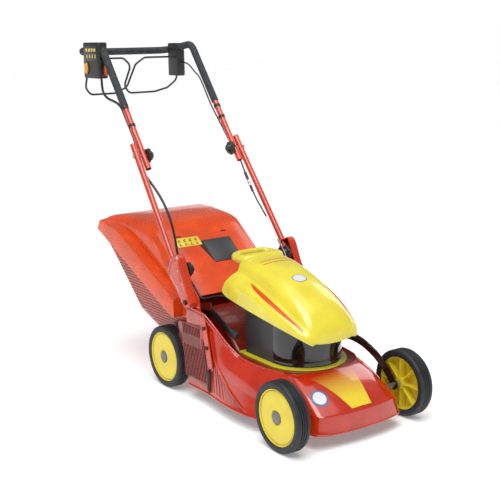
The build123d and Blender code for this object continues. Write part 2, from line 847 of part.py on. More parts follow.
with BuildPart() as lower_tubes:
    for side in (-1, 1):
        add(lower_rod(side, tube_radius))
    for side in (-1, 1):
        add(lower_rod(side, tube_radius - tube_wall), mode=Mode.SUBTRACT)
    with BuildSketch(Plane.YZ.offset(-lower_tube_base_x - 20)):
        with Locations((fold_y, fold_z)):
            Circle(bolt_radius + running_clearance)
    extrude(amount=2 * lower_tube_base_x + 40, mode=Mode.SUBTRACT)
lower_tubes.part.label = "lower_tubes"
export_step(lower_tubes.part, "parts/lower_tubes.step")

bracket_inner_x = ear_outer_x + body_gap
bracket_outer_x = 229.0
bracket_wall = 2.5
bracket_outline = [
    (-121, 318), (-115, 302.5), (-99, 296.2), (-83, 302.5), (6, 392), (-14, 444), (-50, 454), (-80, 398),
]
tilt_pin_radius = 5.0

with BuildPart() as handle_brackets:
    for side in (-1, 1):
        with BuildSketch(Plane.YZ.offset(side * bracket_inner_x)):
            with BuildLine():
                Polyline(*bracket_outline, close=True)
            make_face()
        extrude(amount=side * (bracket_outer_x - bracket_inner_x))
        with BuildSketch(Plane.YZ.offset(side * (bracket_inner_x - 1))):
            with BuildLine():
                Polyline(*bracket_outline, close=True)
            make_face()
            offset(amount=-bracket_wall, kind=Kind.INTERSECTION, mode=Mode.REPLACE)
        extrude(amount=side * (bracket_outer_x - bracket_inner_x + 1 - bracket_wall), mode=Mode.SUBTRACT)
        with BuildSketch(Plane.YZ.offset(side * (bracket_inner_x - 1))):
            with Locations((tilt_y, tilt_z)):
                Circle(tilt_pin_radius + running_clearance)
            with Locations((lock_y, lock_z)):
                Circle(bolt_radius)
        extrude(amount=side * 50, mode=Mode.SUBTRACT)
        # seat for the tube
        add(lower_rod(side, tube_radius), mode=Mode.SUBTRACT)
handle_brackets.part.label = "handle_brackets"
export_step(handle_brackets.part, "parts/handle_brackets.step")

# ---------------------------------------------------------------- upper handle
bend_radius = 42.0
upper_base = -50.0
sleeve_start = 191.0
apex_distance = 437.0


def handle_wire(start):
    """Centre line of the upper handle from one leg over the crossbar to the other."""
    leg = on_handle(start)
    apex = on_handle(apex_distance)
    with BuildLine() as line:
        FilletPolyline(
            (-handle_x, *leg), (-handle_x, *apex), (-handle_x, crossbar_y, crossbar_z),
            (handle_x, crossbar_y, crossbar_z), (handle_x, *apex), (handle_x, *leg),
            radius=bend_radius,
        )
    return line


def handle_sweep(start, outer, inner):
    wire = handle_wire(start).wires()[0]
    with BuildPart() as swept:
        with BuildSketch(Plane(origin=wire @ 0, z_dir=wire % 0)):
            Circle(outer)
            if inner > 0:
                Circle(inner, mode=Mode.SUBTRACT)
        sweep(path=wire)
    return swept.part


with BuildPart() as upper_tube:
    add(handle_sweep(upper_base, tube_radius, tube_radius - tube_wall))
    with BuildSketch(Plane.YZ.offset(-handle_x - 20)):
        with Locations((fold_y, fold_z)):
            Circle(bolt_radius + running_clearance)
    extrude(amount=2 * handle_x + 40, mode=Mode.SUBTRACT)
upper_tube.part.label = "upper_tube"
export_step(upper_tube.part, "parts/upper_tube.step")

with BuildPart() as grip_sleeve:
    add(handle_sweep(sleeve_start, sleeve_radius, tube_radius))
grip_sleeve.part.label = "grip_sleeve"
export_step(grip_sleeve.part, "parts/grip_sleeve.step")

# ---------------------------------------------------------------- control boxes
control_wall = 3.0
near_slot = (-196.0, -184.0)
far_slot = (166.0, 184.0)
near_box = {"x": (-200.0, -164.0), "y": (463.0, 580.0), "z": (972.0, 1092.0)}
far_box = {"x": (162.0, 196.0), "y": (553.0, 623.0), "z": (967.0, 1084.0)}
blade_arm_x = -190.0
drive_arm_x = 172.0
cavity_top_z = 1050.0
slot_top_z = 1046.0
box_corner = 6.0
cavity_corner = 4.0
inlet_width = 16.0
inlet_height = 34.0
inlet_length = 14.0
inlet_z = 1000.0
pin_hole_radius = 2.4
pin_spacing = 16.0
button_thickness = 10.0
button_proud = 6.0
button_y = 552.0
button_z = 1006.0
button_width = 24.0
button_height = 38.0


def middle(span):
    return (span[0] + span[1]) / 2


def make_control_box(box, slot):
    size_x = box["x"][1] - box["x"][0]
    size_y = box["y"][1] - box["y"][0]
    with BuildPart() as control:
        with BuildSketch(Plane.XY.offset(box["z"][0])):
            with Locations((middle(box["x"]), middle(box["y"]))):
                RectangleRounded(size_x, size_y, box_corner)
        extrude(amount=box["z"][1] - box["z"][0])
        with BuildSketch(Plane.XY.offset(box["z"][0] + control_wall)):
            with Locations((middle(box["x"]), middle(box["y"]))):
                RectangleRounded(size_x - 2 * control_wall, size_y - 2 * control_wall, cavity_corner)
        extrude(amount=cavity_top_z - box["z"][0] - control_wall, mode=Mode.SUBTRACT)
        # slot for the bail's arm, through the floor and the back
        with BuildSketch(Plane.YZ.offset(slot[0])):
            with BuildLine():
                Polyline(
                    (bail_axis_y - 6, bail_axis_z - 30), (bail_axis_y - 6, box["z"][0] - 5),
                    (box["y"][1] + 5, box["z"][0] - 5), (box["y"][1] + 5, slot_top_z),
                    (bail_axis_y + 4, slot_top_z), close=True,
                )
            make_face()
        extrude(amount=slot[1] - slot[0], mode=Mode.SUBTRACT)
        # bores for the bails' ends
        with BuildSketch(Plane.YZ.offset(box["x"][0] - 5)):
            with Locations((bail_axis_y, bail_axis_z)):
                Circle(bail_radius + running_clearance)
        extrude(amount=size_x + 10, mode=Mode.SUBTRACT)
        add(handle_sweep(sleeve_start, sleeve_radius, 0), mode=Mode.SUBTRACT)
    return control


near_control = make_control_box(near_box, near_slot)
with BuildPart() as switch_box:
    add(near_control.part)
    with BuildSketch(Plane.YZ.offset(near_box["x"][0] - 5)):
        with Locations((button_y, button_z)):
            SlotOverall(button_height + 1, button_width + 1, rotation=90)
    extrude(amount=control_wall + 8, mode=Mode.SUBTRACT)
switch_box.part.label = "switch_box"
export_step(switch_box.part, "parts/switch_box.step")

clutch_box = make_control_box(far_box, far_slot)
clutch_box.part.label = "clutch_box"
export_step(clutch_box.part, "parts/clutch_box.step")

with BuildPart() as start_button:
    with BuildSketch(Plane.YZ.offset(near_box["x"][0] - button_proud)):
        with Locations((button_y, button_z)):
            SlotOverall(button_height, button_width, rotation=90)
    extrude(amount=button_thickness)
    fillet(start_button.faces().sort_by(Axis.X)[0].edges(), radius=2)
start_button.part.label = "start_button"
export_step(start_button.part, "parts/start_button.step")

inlet_x = near_box["x"][1] - 9
with BuildPart() as mains_inlet:
    with BuildSketch(Plane.XZ.offset(-near_box["y"][0])):
        with Locations((inlet_x, inlet_z)):
            RectangleRounded(inlet_width, inlet_height, cavity_corner)
        with Locations((inlet_x, inlet_z - pin_spacing / 2), (inlet_x, inlet_z + pin_spacing / 2)):
            Circle(pin_hole_radius, mode=Mode.SUBTRACT)
    extrude(amount=inlet_length)
mains_inlet.part.label = "mains_inlet"
export_step(mains_inlet.part, "parts/mains_inlet.step")

# ---------------------------------------------------------------- bails
bail_tilt = radians(8.3)
cross_offset = 4.6


def bail_point(x, drop, back=0.0):
    """A point on a bail: drop below the pivot line in the bails' tilted plane, back behind it."""
    y = bail_axis_y + drop * sin(bail_tilt) + back * cos(bail_tilt)
    z = bail_axis_z - drop * cos(bail_tilt) + back * sin(bail_tilt)
    return Vector(x, y, z)


def corner_radii(points, largest):
    """One bend radius per corner, as large as the two runs beside it allow."""
    radii = []
    for before, here, after in zip(points, points[1:], points[2:]):
        run_in = here - before
        run_out = after - here
        turn = radians(run_in.get_angle(run_out))
        radii.append(min(largest, 0.45 * min(run_in.length, run_out.length) / tan(turn / 2)))
    return radii


def make_rod(points, radius, largest):
    with BuildLine() as path:
        FilletPolyline(*points, radius=corner_radii(points, largest))
    wire = path.wires()[0]
    with BuildPart() as rod:
        with BuildSketch(Plane(origin=wire @ 0, z_dir=wire % 0)):
            Circle(radius)
        sweep(path=wire)
    return rod


blade_bail_route = [
    bail_point(-199.5, 0), bail_point(blade_arm_x, 0), bail_point(blade_arm_x, 66),
    bail_point(-194, 100), bail_point(-174, 124), bail_point(-74, 124, cross_offset),
    bail_point(-30, 104, cross_offset), bail_point(2, 24, cross_offset), bail_point(34, 0),
    bail_point(167, 0),
]
drive_bail_route = [
    bail_point(-169, 0), bail_point(-50, 0), bail_point(-22, 26, -cross_offset),
    bail_point(-46, 98, -cross_offset), bail_point(-24, 124, -cross_offset), bail_point(82, 124),
    bail_point(134, 112), bail_point(drive_arm_x, 84), bail_point(drive_arm_x, 0),
    bail_point(195.5, 0),
]
bail_bend = 26.0
blade_bail = make_rod(blade_bail_route, bail_radius, bail_bend)
blade_bail.part.label = "blade_bail"
export_step(blade_bail.part, "parts/blade_bail.step")
drive_bail = make_rod(drive_bail_route, bail_radius, bail_bend)
drive_bail.part.label = "drive_bail"
export_step(drive_bail.part, "parts/drive_bail.step")

# ---------------------------------------------------------------- clamping knobs
knob_lobes = 7
lobe_radius = 4.5
knob_thickness = 12.0
knob_dome = 10.0
bolt_head_radius = 7.0
bolt_head = 4.0


def make_knob(side, face_x, centre, bolt_end, head_radius):
    """A lobed knob on the inside, its bolt running outwards through what it clamps."""
    base = side * face_x
    with BuildPart() as knob:
        with BuildSketch(Plane.YZ.offset(base)):
            with Locations(centre):
                Circle(knob_radius - 2)
                with PolarLocations(knob_radius - 4, knob_lobes):
                    Circle(lobe_radius)
        extrude(amount=-side * knob_thickness)
        with BuildSketch(Plane.YZ.offset(base - side * knob_thickness)):
            with Locations(centre):
                Circle(knob_radius - 6)
        extrude(amount=-side * knob_dome, taper=20)
        with BuildSketch(Plane.YZ.offset(base - side * 4)):
            with Locations(centre):
                Circle(bolt_radius)
        extrude(amount=side * (bolt_end - face_x + 4))
        if head_radius > 0:
            with BuildSketch(Plane.YZ.offset(side * bolt_end)):
                with Locations(centre):
                    Circle(head_radius)
            extrude(amount=side * bolt_head)
    return knob


fold_knob_face = handle_x - tube_radius - body_gap
fold_bolt_end = lower_tube_top_x + 2 + tube_radius + body_gap
lock_knob_face = ear_outer_x - ear_thickness - body_gap
lock_bolt_end = bracket_outer_x - body_gap
for side_name, side in (("left", -1), ("right", 1)):
    fold_knob = make_knob(side, fold_knob_face, (fold_y, fold_z), fold_bolt_end, bolt_head_radius)
    fold_knob.part.label = f"fold_knob_{side_name}"
    export_step(fold_knob.part, f"parts/fold_knob_{side_name}.step")
    lock_knob = make_knob(side, lock_knob_face, (lock_y, lock_z), lock_bolt_end, 0)
    lock_knob.part.label = f"lock_knob_{side_name}"
    export_step(lock_knob.part, f"parts/lock_knob_{side_name}.step")

# ---------------------------------------------------------------- cables and their clips


def beside_handle(x, distance, back):
    """A point beside the handle line: distance up from the fold, back behind the tubes."""
    y, z = on_handle(distance)
    return Vector(x, y + back * handle_dz, z - back * handle_dy)


def make_cable(name, points, radius):
    radii = corner_radii(points, 400.0)
    print(name, "bend radii", [round(value) for value in radii])
    cable = make_rod(points, radius, 400.0)
    cable.part.label = name
    export_step(cable.part, f"parts/{name}.step")


mains_upper_route = [
    Vector(-182, 482, near_box["z"][0]), Vector(-182, 482, 944), Vector(-182, 471, 920),
    Vector(-181, 443, 905), Vector(-180, 400, 899), beside_handle(-179, 205, 18),
    beside_handle(-180, 150, 16), beside_handle(-178, 95, 17),
    beside_handle(-180, 45, 16), beside_handle(-184, 5, 16),
]
mains_middle_route = [
    beside_handle(-193, -8, 16), beside_handle(-193, -45, 18), beside_handle(-184, -90, 10),
    beside_handle(-176, -140, 1), beside_handle(-171, -195, -3), beside_handle(-168, -250, 4),
    beside_handle(-167, -300, 20), beside_handle(-166, -352, 46), Vector(-168, -4, 384),
    Vector(-171, -52, 354), Vector(-172, tilt_y, tilt_z), Vector(-130, tilt_y, tilt_z),
]
mains_lower_route = [
    Vector(-128.5, tilt_y, tilt_z), Vector(-94, tilt_y, tilt_z), Vector(-96, -170, 310),
    Vector(-98, motor_back_y, 304),
]
clutch_upper_route = [
    Vector(179, 552.5, 1016), Vector(178, 530, 1016), Vector(172, 486, 1007), Vector(164, 441, 984),
    beside_handle(161, 300, 6), beside_handle(162, 250, 8), beside_handle(166, 190, 15),
    beside_handle(172, 140, 17), beside_handle(176, 85, 15), beside_handle(178, 40, 14.5),
    beside_handle(183, 5, 14),
]
clutch_lower_route = [
    beside_handle(194, -8, 15), beside_handle(193.5, -45, 17), beside_handle(189, -100, 15),
    beside_handle(186, -155, 11), beside_handle(184, -200, 7), beside_handle(179, -244, -7),
    beside_handle(173, -282, -20),
]
clutch_wire_route = [
    beside_handle(172, -288, -22), Vector(170, -30, 456), Vector(169, -71, 421), Vector(165, -104, 368),
    Vector(157, -136, 304), Vector(146, -164, 246), Vector(128, -196, 173),
]
make_cable("mains_lead_upper", mains_upper_route, cable_radius)
make_cable("mains_lead_middle", mains_middle_route, cable_radius)
make_cable("mains_lead_lower", mains_lower_route, cable_radius)
make_cable("clutch_cable_upper", clutch_upper_route, clutch_cable_radius)
make_cable("clutch_cable_lower", clutch_lower_route, clutch_cable_radius)
make_cable("clutch_wire", clutch_wire_route, 1.2)

clip_wall = 1.5
clip_width = 10.0
clip_places = [(-1, 178), (-1, 110), (1, 165), (1, 120)]
with BuildPart() as cable_clips:
    for side, distance in clip_places:
        y, z = on_handle(distance)
        with BuildSketch(
            Plane(origin=(side * handle_x, y, z), x_dir=(1, 0, 0), z_dir=(0, handle_dy, handle_dz))
        ):
            Circle(tube_radius + clip_wall)
            Circle(tube_radius, mode=Mode.SUBTRACT)
        extrude(amount=clip_width)
cable_clips.part.label = "cable_clips"
export_step(cable_clips.part, "parts/cable_clips.step")

# ---------------------------------------------------------------- grass box
body_low_half = 148.0
body_high_half = 206.0
tray_half = 215.0
dome_half = 178.0
front_y = deck_rear_y + 5
seam = [(front_y, 240), (25, 248), (492, 452)]
body_low = [(473, 438), (305, 183), (195, 138), (front_y, 150)]
panel_low = (-77.0, 300.0)
panel_high = (193.0, 498.0)
dome_top = [panel_low, panel_high, (255, 512), (323, 517), (435, 511), (487, 497), (501, 461)]
tray_top = [(-2, 262), (-2, 306), (60, 338), (354, 476), (487, 495), (501, 461)]
mouth_half = 105.0
raise_z = 30.0


def side_prism(points, half, inset):
    """A solid with the given side view, extruded to half each side of the centre."""
    with BuildPart() as prism:
        with BuildSketch(Plane.YZ.offset(-half + inset)):
            with BuildLine():
                Polyline(*points, close=True)
            make_face()
            if inset > 0:
                offset(amount=-inset, kind=Kind.INTERSECTION, mode=Mode.REPLACE)
        extrude(amount=2 * (half - inset))
    return prism.part


def taper_prism(inset):
    """The front view of the box body: narrow at the bottom and wide at the rim."""
    low_z, high_z = 120.0, 520.0
    grow = (body_high_half - body_low_half) / (450 - 138)
    low = body_low_half + grow * (low_z - 138) - inset
    high = body_low_half + grow * (high_z - 138) - inset
    with BuildPart() as prism:
        with BuildSketch(Plane.XZ.offset(200)):
            with BuildLine():
                Polyline((-low, low_z), (low, low_z), (high, high_z), (-high, high_z), close=True)
            make_face()
        extrude(amount=-900)
    return prism.part


raised_seam = [(y, z + raise_z) for y, z in seam]
lowered_seam = [(y, z - raise_z) for y, z in seam]
with BuildPart() as catcher_body:
    add(side_prism(seam + body_low, 230, 0))
    add(taper_prism(0), mode=Mode.INTERSECT)
    with BuildPart(mode=Mode.PRIVATE) as body_hollow:
        add(side_prism(raised_seam + body_low, 230 + box_wall, box_wall))
        add(taper_prism(box_wall), mode=Mode.INTERSECT)
    add(body_hollow.part, mode=Mode.SUBTRACT)
    with BuildSketch(Plane.XZ.offset(-front_y + 5)):
        with Locations((0, 210)):
            Rectangle(2 * mouth_half, 100)
    extrude(amount=-20, mode=Mode.SUBTRACT)
catcher_body.part.label = "catcher_body"
export_step(catcher_body.part, "parts/catcher_body.step")

with BuildPart() as catcher_lid:
    add(side_prism(dome_top + list(reversed(seam)) + [(front_y, 300)], dome_half, 0))
    add(side_prism(tray_top + list(reversed(seam[1:])), tray_half, 0))
    dome_hollow = dome_top + list(reversed(lowered_seam)) + [(front_y, 300)]
    add(side_prism(dome_hollow, dome_half, box_wall), mode=Mode.SUBTRACT)
    tray_hollow = tray_top + list(reversed(lowered_seam[1:]))
    add(side_prism(tray_hollow, tray_half, box_wall), mode=Mode.SUBTRACT)
    with BuildSketch(Plane.XZ.offset(-front_y + 5)):
        with Locations((0, 255)):
            Rectangle(2 * mouth_half, 60)
    extrude(amount=-12, mode=Mode.SUBTRACT)
catcher_lid.part.label = "catcher_lid"
export_step(catcher_lid.part, "parts/catcher_lid.step")

# level flap hinged on the lid's front panel
panel_length = hypot(panel_high[0] - panel_low[0], panel_high[1] - panel_low[1])
panel_dy = (panel_high[0] - panel_low[0]) / panel_length
panel_dz = (panel_high[1] - panel_low[1]) / panel_length
flap_low = 150.0
flap_length = 100.0
flap_width = 108.0
flap_x = 30.0
flap_thickness = 3.0
flap_round = 1.49
flap_plane = Plane(
    origin=(flap_x, panel_low[0] + panel_dy * flap_low, panel_low[1] + panel_dz * flap_low),
    x_dir=(1, 0, 0), z_dir=(0, -panel_dz, panel_dy),
)
with BuildPart() as level_flap:
    with BuildSketch(flap_plane.offset(body_gap)):
        with Locations((0, flap_length / 2)):
            Rectangle(flap_width, flap_length)
    extrude(amount=flap_thickness)
    # the hinged edge is a full round
    fillet(level_flap.edges().filter_by(Axis.X).group_by(Axis.Y)[-1], radius=flap_round)
level_flap.part.label = "level_flap"
export_step(level_flap.part, "parts/level_flap.step")

# ---------------------------------------------------------------- height slider
rack_low = (-262.0, 233.0)
rack_high = (-132.0, 289.0)
rack_x = -160.0
rack_thickness = 5.0
rack_width = 22.0
slider_size = (26.0, 18.0)
slider_thickness = 12.0
rack_angle = degrees(atan2(rack_high[1] - rack_low[1], rack_high[0] - rack_low[0]))
with BuildPart() as height_rack:
    with BuildSketch(Plane.YZ.offset(rack_x)):
        with BuildLine():
            Line(rack_low, rack_high)
        trace(line_width=rack_width)
    extrude(amount=rack_thickness)
height_rack.part.label = "height_rack"
export_step(height_rack.part, "parts/height_rack.step")

with BuildPart() as height_slider:
    with BuildSketch(Plane.YZ.offset(rack_x + rack_thickness + body_gap)):
        with Locations(Location((rack_low[0] + 14, rack_low[1] + 6, 0), (0, 0, 1), rack_angle)):
            RectangleRounded(*slider_size, 4)
    extrude(amount=slider_thickness)
height_slider.part.label = "height_slider"
export_step(height_slider.part, "parts/height_slider.step")

# ---------------------------------------------------------------- fasteners in the deck
bar_head_radius = 6.5
bar_head = 4.0
tilt_head_radius = 8.0
arm_head_radius = 9.0
large_head = 5.0
with BuildPart() as deck_bolts:
    for side in (-1, 1):
        # side bars
        with BuildSketch(Plane.YZ.offset(side * wing_outer_x)):
            with Locations(*bar_holes):
                Circle(bar_bolt_radius)
        extrude(amount=side * (grille_thickness + bar_thickness))
        with BuildSketch(Plane.YZ.offset(side * (bar_x + bar_thickness))):
            with Locations(*bar_holes):
                RegularPolygon(bar_head_radius, 6)
        extrude(amount=side * bar_head)
        # handle pivots
        with BuildSketch(Plane.YZ.offset(side * (ear_outer_x - ear_thickness))):
            with Locations((tilt_y, tilt_z)):
                Circle(tilt_pin_radius)
        extrude(amount=side * (bracket_outer_x - ear_outer_x + ear_thickness + body_gap))
        with BuildSketch(Plane.YZ.offset(side * (bracket_outer_x + body_gap))):
            with Locations((tilt_y, tilt_z)):
                RegularPolygon(tilt_head_radius, 6)
        extrude(amount=side * large_head)
        # rear axle pivots
        with BuildSketch(Plane.YZ.offset(side * (lug_x - 3))):
            with Locations((rear_pivot_y, rear_pivot_z)):
                Circle(pivot_pin_radius)
        extrude(amount=side * (lug_thickness + crank_thickness + 3 + 2 * body_gap))
    # front arm pivot
    with BuildSketch(Plane.YZ.offset(arm_inner_x - body_gap - 8)):
        with Locations((front_pivot_y, front_pivot_z)):
            Circle(pivot_pin_radius)
    extrude(amount=arm_thickness + 2 * body_gap + 8)
    with BuildSketch(Plane.YZ.offset(arm_inner_x + arm_thickness + body_gap)):
        with Locations((front_pivot_y, front_pivot_z)):
            RegularPolygon(arm_head_radius, 6)
    extrude(amount=large_head)
    # idler post under the deck
    with BuildSketch(Plane.XY.offset(belt_z + belt_height + 4)):
        with Locations(idler_pivot):
            Circle(idler_post_radius)
    extrude(amount=deck_top_z - deck_wall - belt_z - belt_height - 4)
deck_bolts.part.label = "deck_bolts"
export_step(deck_bolts.part, "parts/deck_bolts.step")
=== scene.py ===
# %% [markdown]
# # A walk-behind electric mower
#
# The CAD model gives every piece its place and its joint. This script loads it as a fixed frame
# and gives each piece its look: smooth pressed and moulded shapes, small parts and materials.

# %% Load the frame
import bpy
import bmesh
from math import atan2, cos, hypot, pi, radians, sin
from mathutils import Matrix, Vector
from mathutils.bvhtree import BVHTree


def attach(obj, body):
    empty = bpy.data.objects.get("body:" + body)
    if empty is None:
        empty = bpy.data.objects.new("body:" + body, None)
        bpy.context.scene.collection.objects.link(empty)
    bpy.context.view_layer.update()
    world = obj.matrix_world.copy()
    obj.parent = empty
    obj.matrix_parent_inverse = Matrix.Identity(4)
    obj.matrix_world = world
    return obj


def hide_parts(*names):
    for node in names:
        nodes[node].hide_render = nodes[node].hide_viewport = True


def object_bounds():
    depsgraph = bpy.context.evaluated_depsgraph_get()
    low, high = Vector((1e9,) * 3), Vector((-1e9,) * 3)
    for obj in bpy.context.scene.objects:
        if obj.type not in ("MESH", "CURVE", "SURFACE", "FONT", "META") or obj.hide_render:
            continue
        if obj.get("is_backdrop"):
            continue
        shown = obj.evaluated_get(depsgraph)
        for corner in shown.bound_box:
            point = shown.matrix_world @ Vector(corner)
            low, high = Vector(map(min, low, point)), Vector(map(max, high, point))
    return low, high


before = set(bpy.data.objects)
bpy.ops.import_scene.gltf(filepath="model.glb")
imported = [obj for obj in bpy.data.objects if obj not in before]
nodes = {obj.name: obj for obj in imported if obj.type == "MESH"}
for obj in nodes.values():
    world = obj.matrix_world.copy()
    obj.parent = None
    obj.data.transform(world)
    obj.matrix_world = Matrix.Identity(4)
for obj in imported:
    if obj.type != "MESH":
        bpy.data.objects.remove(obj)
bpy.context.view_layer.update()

# %% [markdown]
# ## Small helpers
#
# Sizes are easier to read in millimetres, so points are written in them and turned to metres at
# the last moment. One function adds a shader or geometry node and links its inputs.

# %% Helpers for points, colours and nodes
MM = 0.001


def linear(code):
    """An sRGB hex colour as linear RGBA."""
    parts = [int(code[i:i + 2], 16) / 255 for i in (1, 3, 5)]
    return tuple(v / 12.92 if v <= 0.04045 else ((v + 0.055) / 1.055) ** 2.4 for v in parts) + (1.0,)


def mm(x, y, z):
    """A point given in mm, in metres."""
    return Vector((x, y, z)) * MM


def round_angles(count):
    """count equal steps round a circle, in radians."""
    return [2 * pi * k / count for k in range(count)]


def squared(a, power=0.5):
    """Cosine and sine of an angle, pushed outwards to a rounded square: the lower the power, the squarer."""
    return [abs(v) ** power * (1 if v > 0 else -1) for v in (cos(a), sin(a))]


def put(tree, kind, inputs=None, **settings):
    """Adds a node, sets its properties, and fills inputs with values, sockets or nodes' first outputs."""
    made = tree.nodes.new(kind)
    for key, value in settings.items():
        setattr(made, key, value)
    for key, value in (inputs or {}).items():
        if isinstance(value, bpy.types.Node):
            value = value.outputs[0]
        if isinstance(value, bpy.types.NodeSocket):
            tree.links.new(value, made.inputs[key])
        else:
            made.inputs[key].default_value = value
    return made


def curve_through(points, steps):
    """A smooth line through the points (Catmull-Rom), with steps spans between neighbours."""
    out = []
    last = len(points) - 1
    for i in range(last):
        p0, p1, p2, p3 = (Vector(points[min(max(j, 0), last)]) for j in (i - 1, i, i + 1, i + 2))
        for k in range(steps):
            t = k / steps
            out.append(0.5 * (2 * p1 + (p2 - p0) * t + (2 * p0 - 5 * p1 + 4 * p2 - p3) * t * t
                              + (3 * p1 - p0 - 3 * p2 + p3) * t ** 3))
    out.append(Vector(points[-1]))
    return out


def mirrored(half, y):
    """A cross-section at y from its +X half of (x, z), from the middle outwards."""
    return [(-x, y, z) for x, z in reversed(half[1:])] + [(x, y, z) for x, z in half]


def add(name, data):
    """A new object in the scene."""
    thing = bpy.data.objects.new(name, data)
    bpy.context.scene.collection.objects.link(thing)
    return thing


def surface_of(thing):
    """The mesh of an object as a tree that answers where a ray hits it and which point is nearest."""
    mesh = thing.data
    return BVHTree.FromPolygons([v.co.copy() for v in mesh.vertices],
        [tuple(f.vertices) for f in mesh.polygons])


def at(table, y):
    """Straight-line reading of a table of (y, value)."""
    for (y0, v0), (y1, v1) in zip(table, table[1:]):
        if y <= y1:
            return v0 + (v1 - v0) * max(0.0, (y - y0) / (y1 - y0))
    return table[-1][1]


# %% [markdown]
# ## Materials
#
# Each finish is a small network: a base colour with a faint unevenness, a roughness that a fine
# noise breaks up, and a bump at the size of the real texture. Painted steel and moulded plastic
# get a clear coat, because that second, sharper reflection is what makes them look wet and new.

# %% A finish built from a few real facts
DARKER, RELIEF_M = 2.2, 0.0004


def finish(name, code, roughness, grain_mm, bump, shade=0.06, metallic=0.0, coat=0.0,
           coat_roughness=0.05, stretch=(1, 1, 1), spread=0.08, patch_mm=60):
    """A solid finish. grain_mm is the size of its surface texture, shade how far its colour drifts."""
    colour = linear(code)
    made = bpy.data.materials.new(name)
    made.use_nodes = True
    tree = made.node_tree
    shader = tree.nodes["Principled BSDF"]
    shader.inputs["Metallic"].default_value = metallic
    shader.inputs["IOR"].default_value = 1.5
    shader.inputs["Coat Weight"].default_value = coat
    shader.inputs["Coat Roughness"].default_value = coat_roughness
    place = put(tree, "ShaderNodeTexCoord").outputs["Object"]
    grain_place = put(tree, "ShaderNodeMapping", {"Vector": place, "Scale": stretch}).outputs["Vector"]
    patches = put(tree, "ShaderNodeTexNoise", {"Vector": place, "Scale": 1000 / patch_mm, "Detail": 3.0})
    grain = put(tree, "ShaderNodeTexNoise", {"Vector": grain_place, "Scale": 1000 / grain_mm, "Detail": 2.0})
    dark = tuple(v * (1 - DARKER * shade) for v in colour[:3]) + (1.0,)
    light = tuple(min(1.0, v * (1 + shade) + 0.01 * shade) for v in colour[:3]) + (1.0,)
    ramp = put(tree, "ShaderNodeValToRGB", {"Fac": patches})
    ramp.color_ramp.elements[0].position = 0.35
    ramp.color_ramp.elements[0].color = dark
    ramp.color_ramp.elements[1].position = 0.62
    ramp.color_ramp.elements[1].color = light
    tree.links.new(ramp.outputs["Color"], shader.inputs["Base Color"])
    rough = put(tree, "ShaderNodeMapRange", {
        "Value": grain, "From Min": 0.3, "From Max": 0.7,
        "To Min": max(0.02, roughness - spread), "To Max": roughness + spread,
    })
    tree.links.new(rough.outputs["Result"], shader.inputs["Roughness"])
    relief = put(tree, "ShaderNodeBump", {
        "Height": grain, "Strength": bump, "Distance": RELIEF_M,
    })
    tree.links.new(relief.outputs["Normal"], shader.inputs["Normal"])
    return made


# %% The finishes on this mower
# painted steel: baked enamel on the deck, a darker copy of it as painted shade in the recesses, on the inner
# walls and on the ribbed panels, thinner on tubes and folded sheet
deck_enamel = finish("deck_enamel", "#BC2808", 0.20, 14, 0.015, coat=0.9, coat_roughness=0.06, shade=0.05)
# the deck's enamel darkened: painted shade, not a second paint
recess_enamel = finish("recess_enamel", "#7A1606", 0.32, 5, 0.12, coat=0.5, shade=0.08)
tube_enamel = finish("tube_enamel", "#C4330C", 0.28, 4, 0.08, coat=0.7, coat_roughness=0.1)
# moulded polypropylene: grass box, lid, motor cover, base ring and wheel discs
box_plastic = finish("box_plastic", "#BE390E", 0.30, 3, 0.10, coat=0.35, coat_roughness=0.15)
lid_plastic = finish("lid_plastic", "#DC480B", 0.27, 3, 0.08, coat=0.45, coat_roughness=0.12)
cover_plastic = finish("cover_plastic", "#E6D63E", 0.24, 3, 0.06, shade=0.03, coat=0.6, coat_roughness=0.08)
ring_plastic = finish("ring_plastic", "#D8CC24", 0.30, 3, 0.08, shade=0.04, coat=0.4)
disc_plastic = finish("disc_plastic", "#E4CE30", 0.36, 2.5, 0.15, shade=0.03, coat=0.15)
stripe_plastic = finish("stripe_plastic", "#D8440F", 0.28, 3, 0.06, shade=0.04, coat=0.4)
# solid rubber on the wheels; glass-filled nylon, satin at the back and polished in front, round the motor
tyre_rubber = finish("tyre_rubber", "#1E2125", 0.55, 1.6, 0.5, shade=0.15, patch_mm=25, spread=0.12)
housing_satin = finish("housing_satin", "#3A3A3D", 0.42, 1.2, 0.35, shade=0.06)
housing_gloss = finish("housing_gloss", "#0B0B0C", 0.16, 3, 0.05, shade=0.1, coat=0.7)
arm_enamel = finish("arm_enamel", "#161412", 0.25, 3, 0.1, shade=0.1, coat=0.6)
# control boxes in ABS, knobs in nylon, foam on the grip, soft PVC round the cables
control_plastic = finish("control_plastic", "#1B1B1D", 0.45, 1.0, 0.5, shade=0.1)
knob_plastic = finish("knob_plastic", "#232325", 0.38, 1.4, 0.4, shade=0.1)
grip_foam = finish("grip_foam", "#303438", 0.75, 1.8, 0.9, shade=0.15, patch_mm=18, spread=0.15)
cable_pvc = finish("cable_pvc", "#19191A", 0.38, 2, 0.25, shade=0.1)
cap_plastic = finish("cap_plastic", "#6E6E70", 0.42, 1.5, 0.3, shade=0.06)
flap_plastic = finish("flap_plastic", "#3E3F41", 0.36, 1.5, 0.25, shade=0.06)
# bare metals: zinc-plated fasteners, ground blade steel, sand-cast aluminium, stacked iron sheets
zinc_steel = finish("zinc_steel", "#B4B6B8", 0.34, 2.2, 0.15, metallic=1.0, shade=0.08, patch_mm=20)
blade_steel = finish("blade_steel", "#8F9194", 0.36, 0.9, 0.3, metallic=1.0, shade=0.12, stretch=(0.06, 1, 1))
cast_alloy = finish("cast_alloy", "#A7A9AB", 0.5, 2.0, 0.7, metallic=1.0, shade=0.1, patch_mm=20)
core_iron = finish("core_iron", "#7E6A58", 0.5, 0.8, 0.4, metallic=0.8, shade=0.12, stretch=(0.05, 0.05, 1))
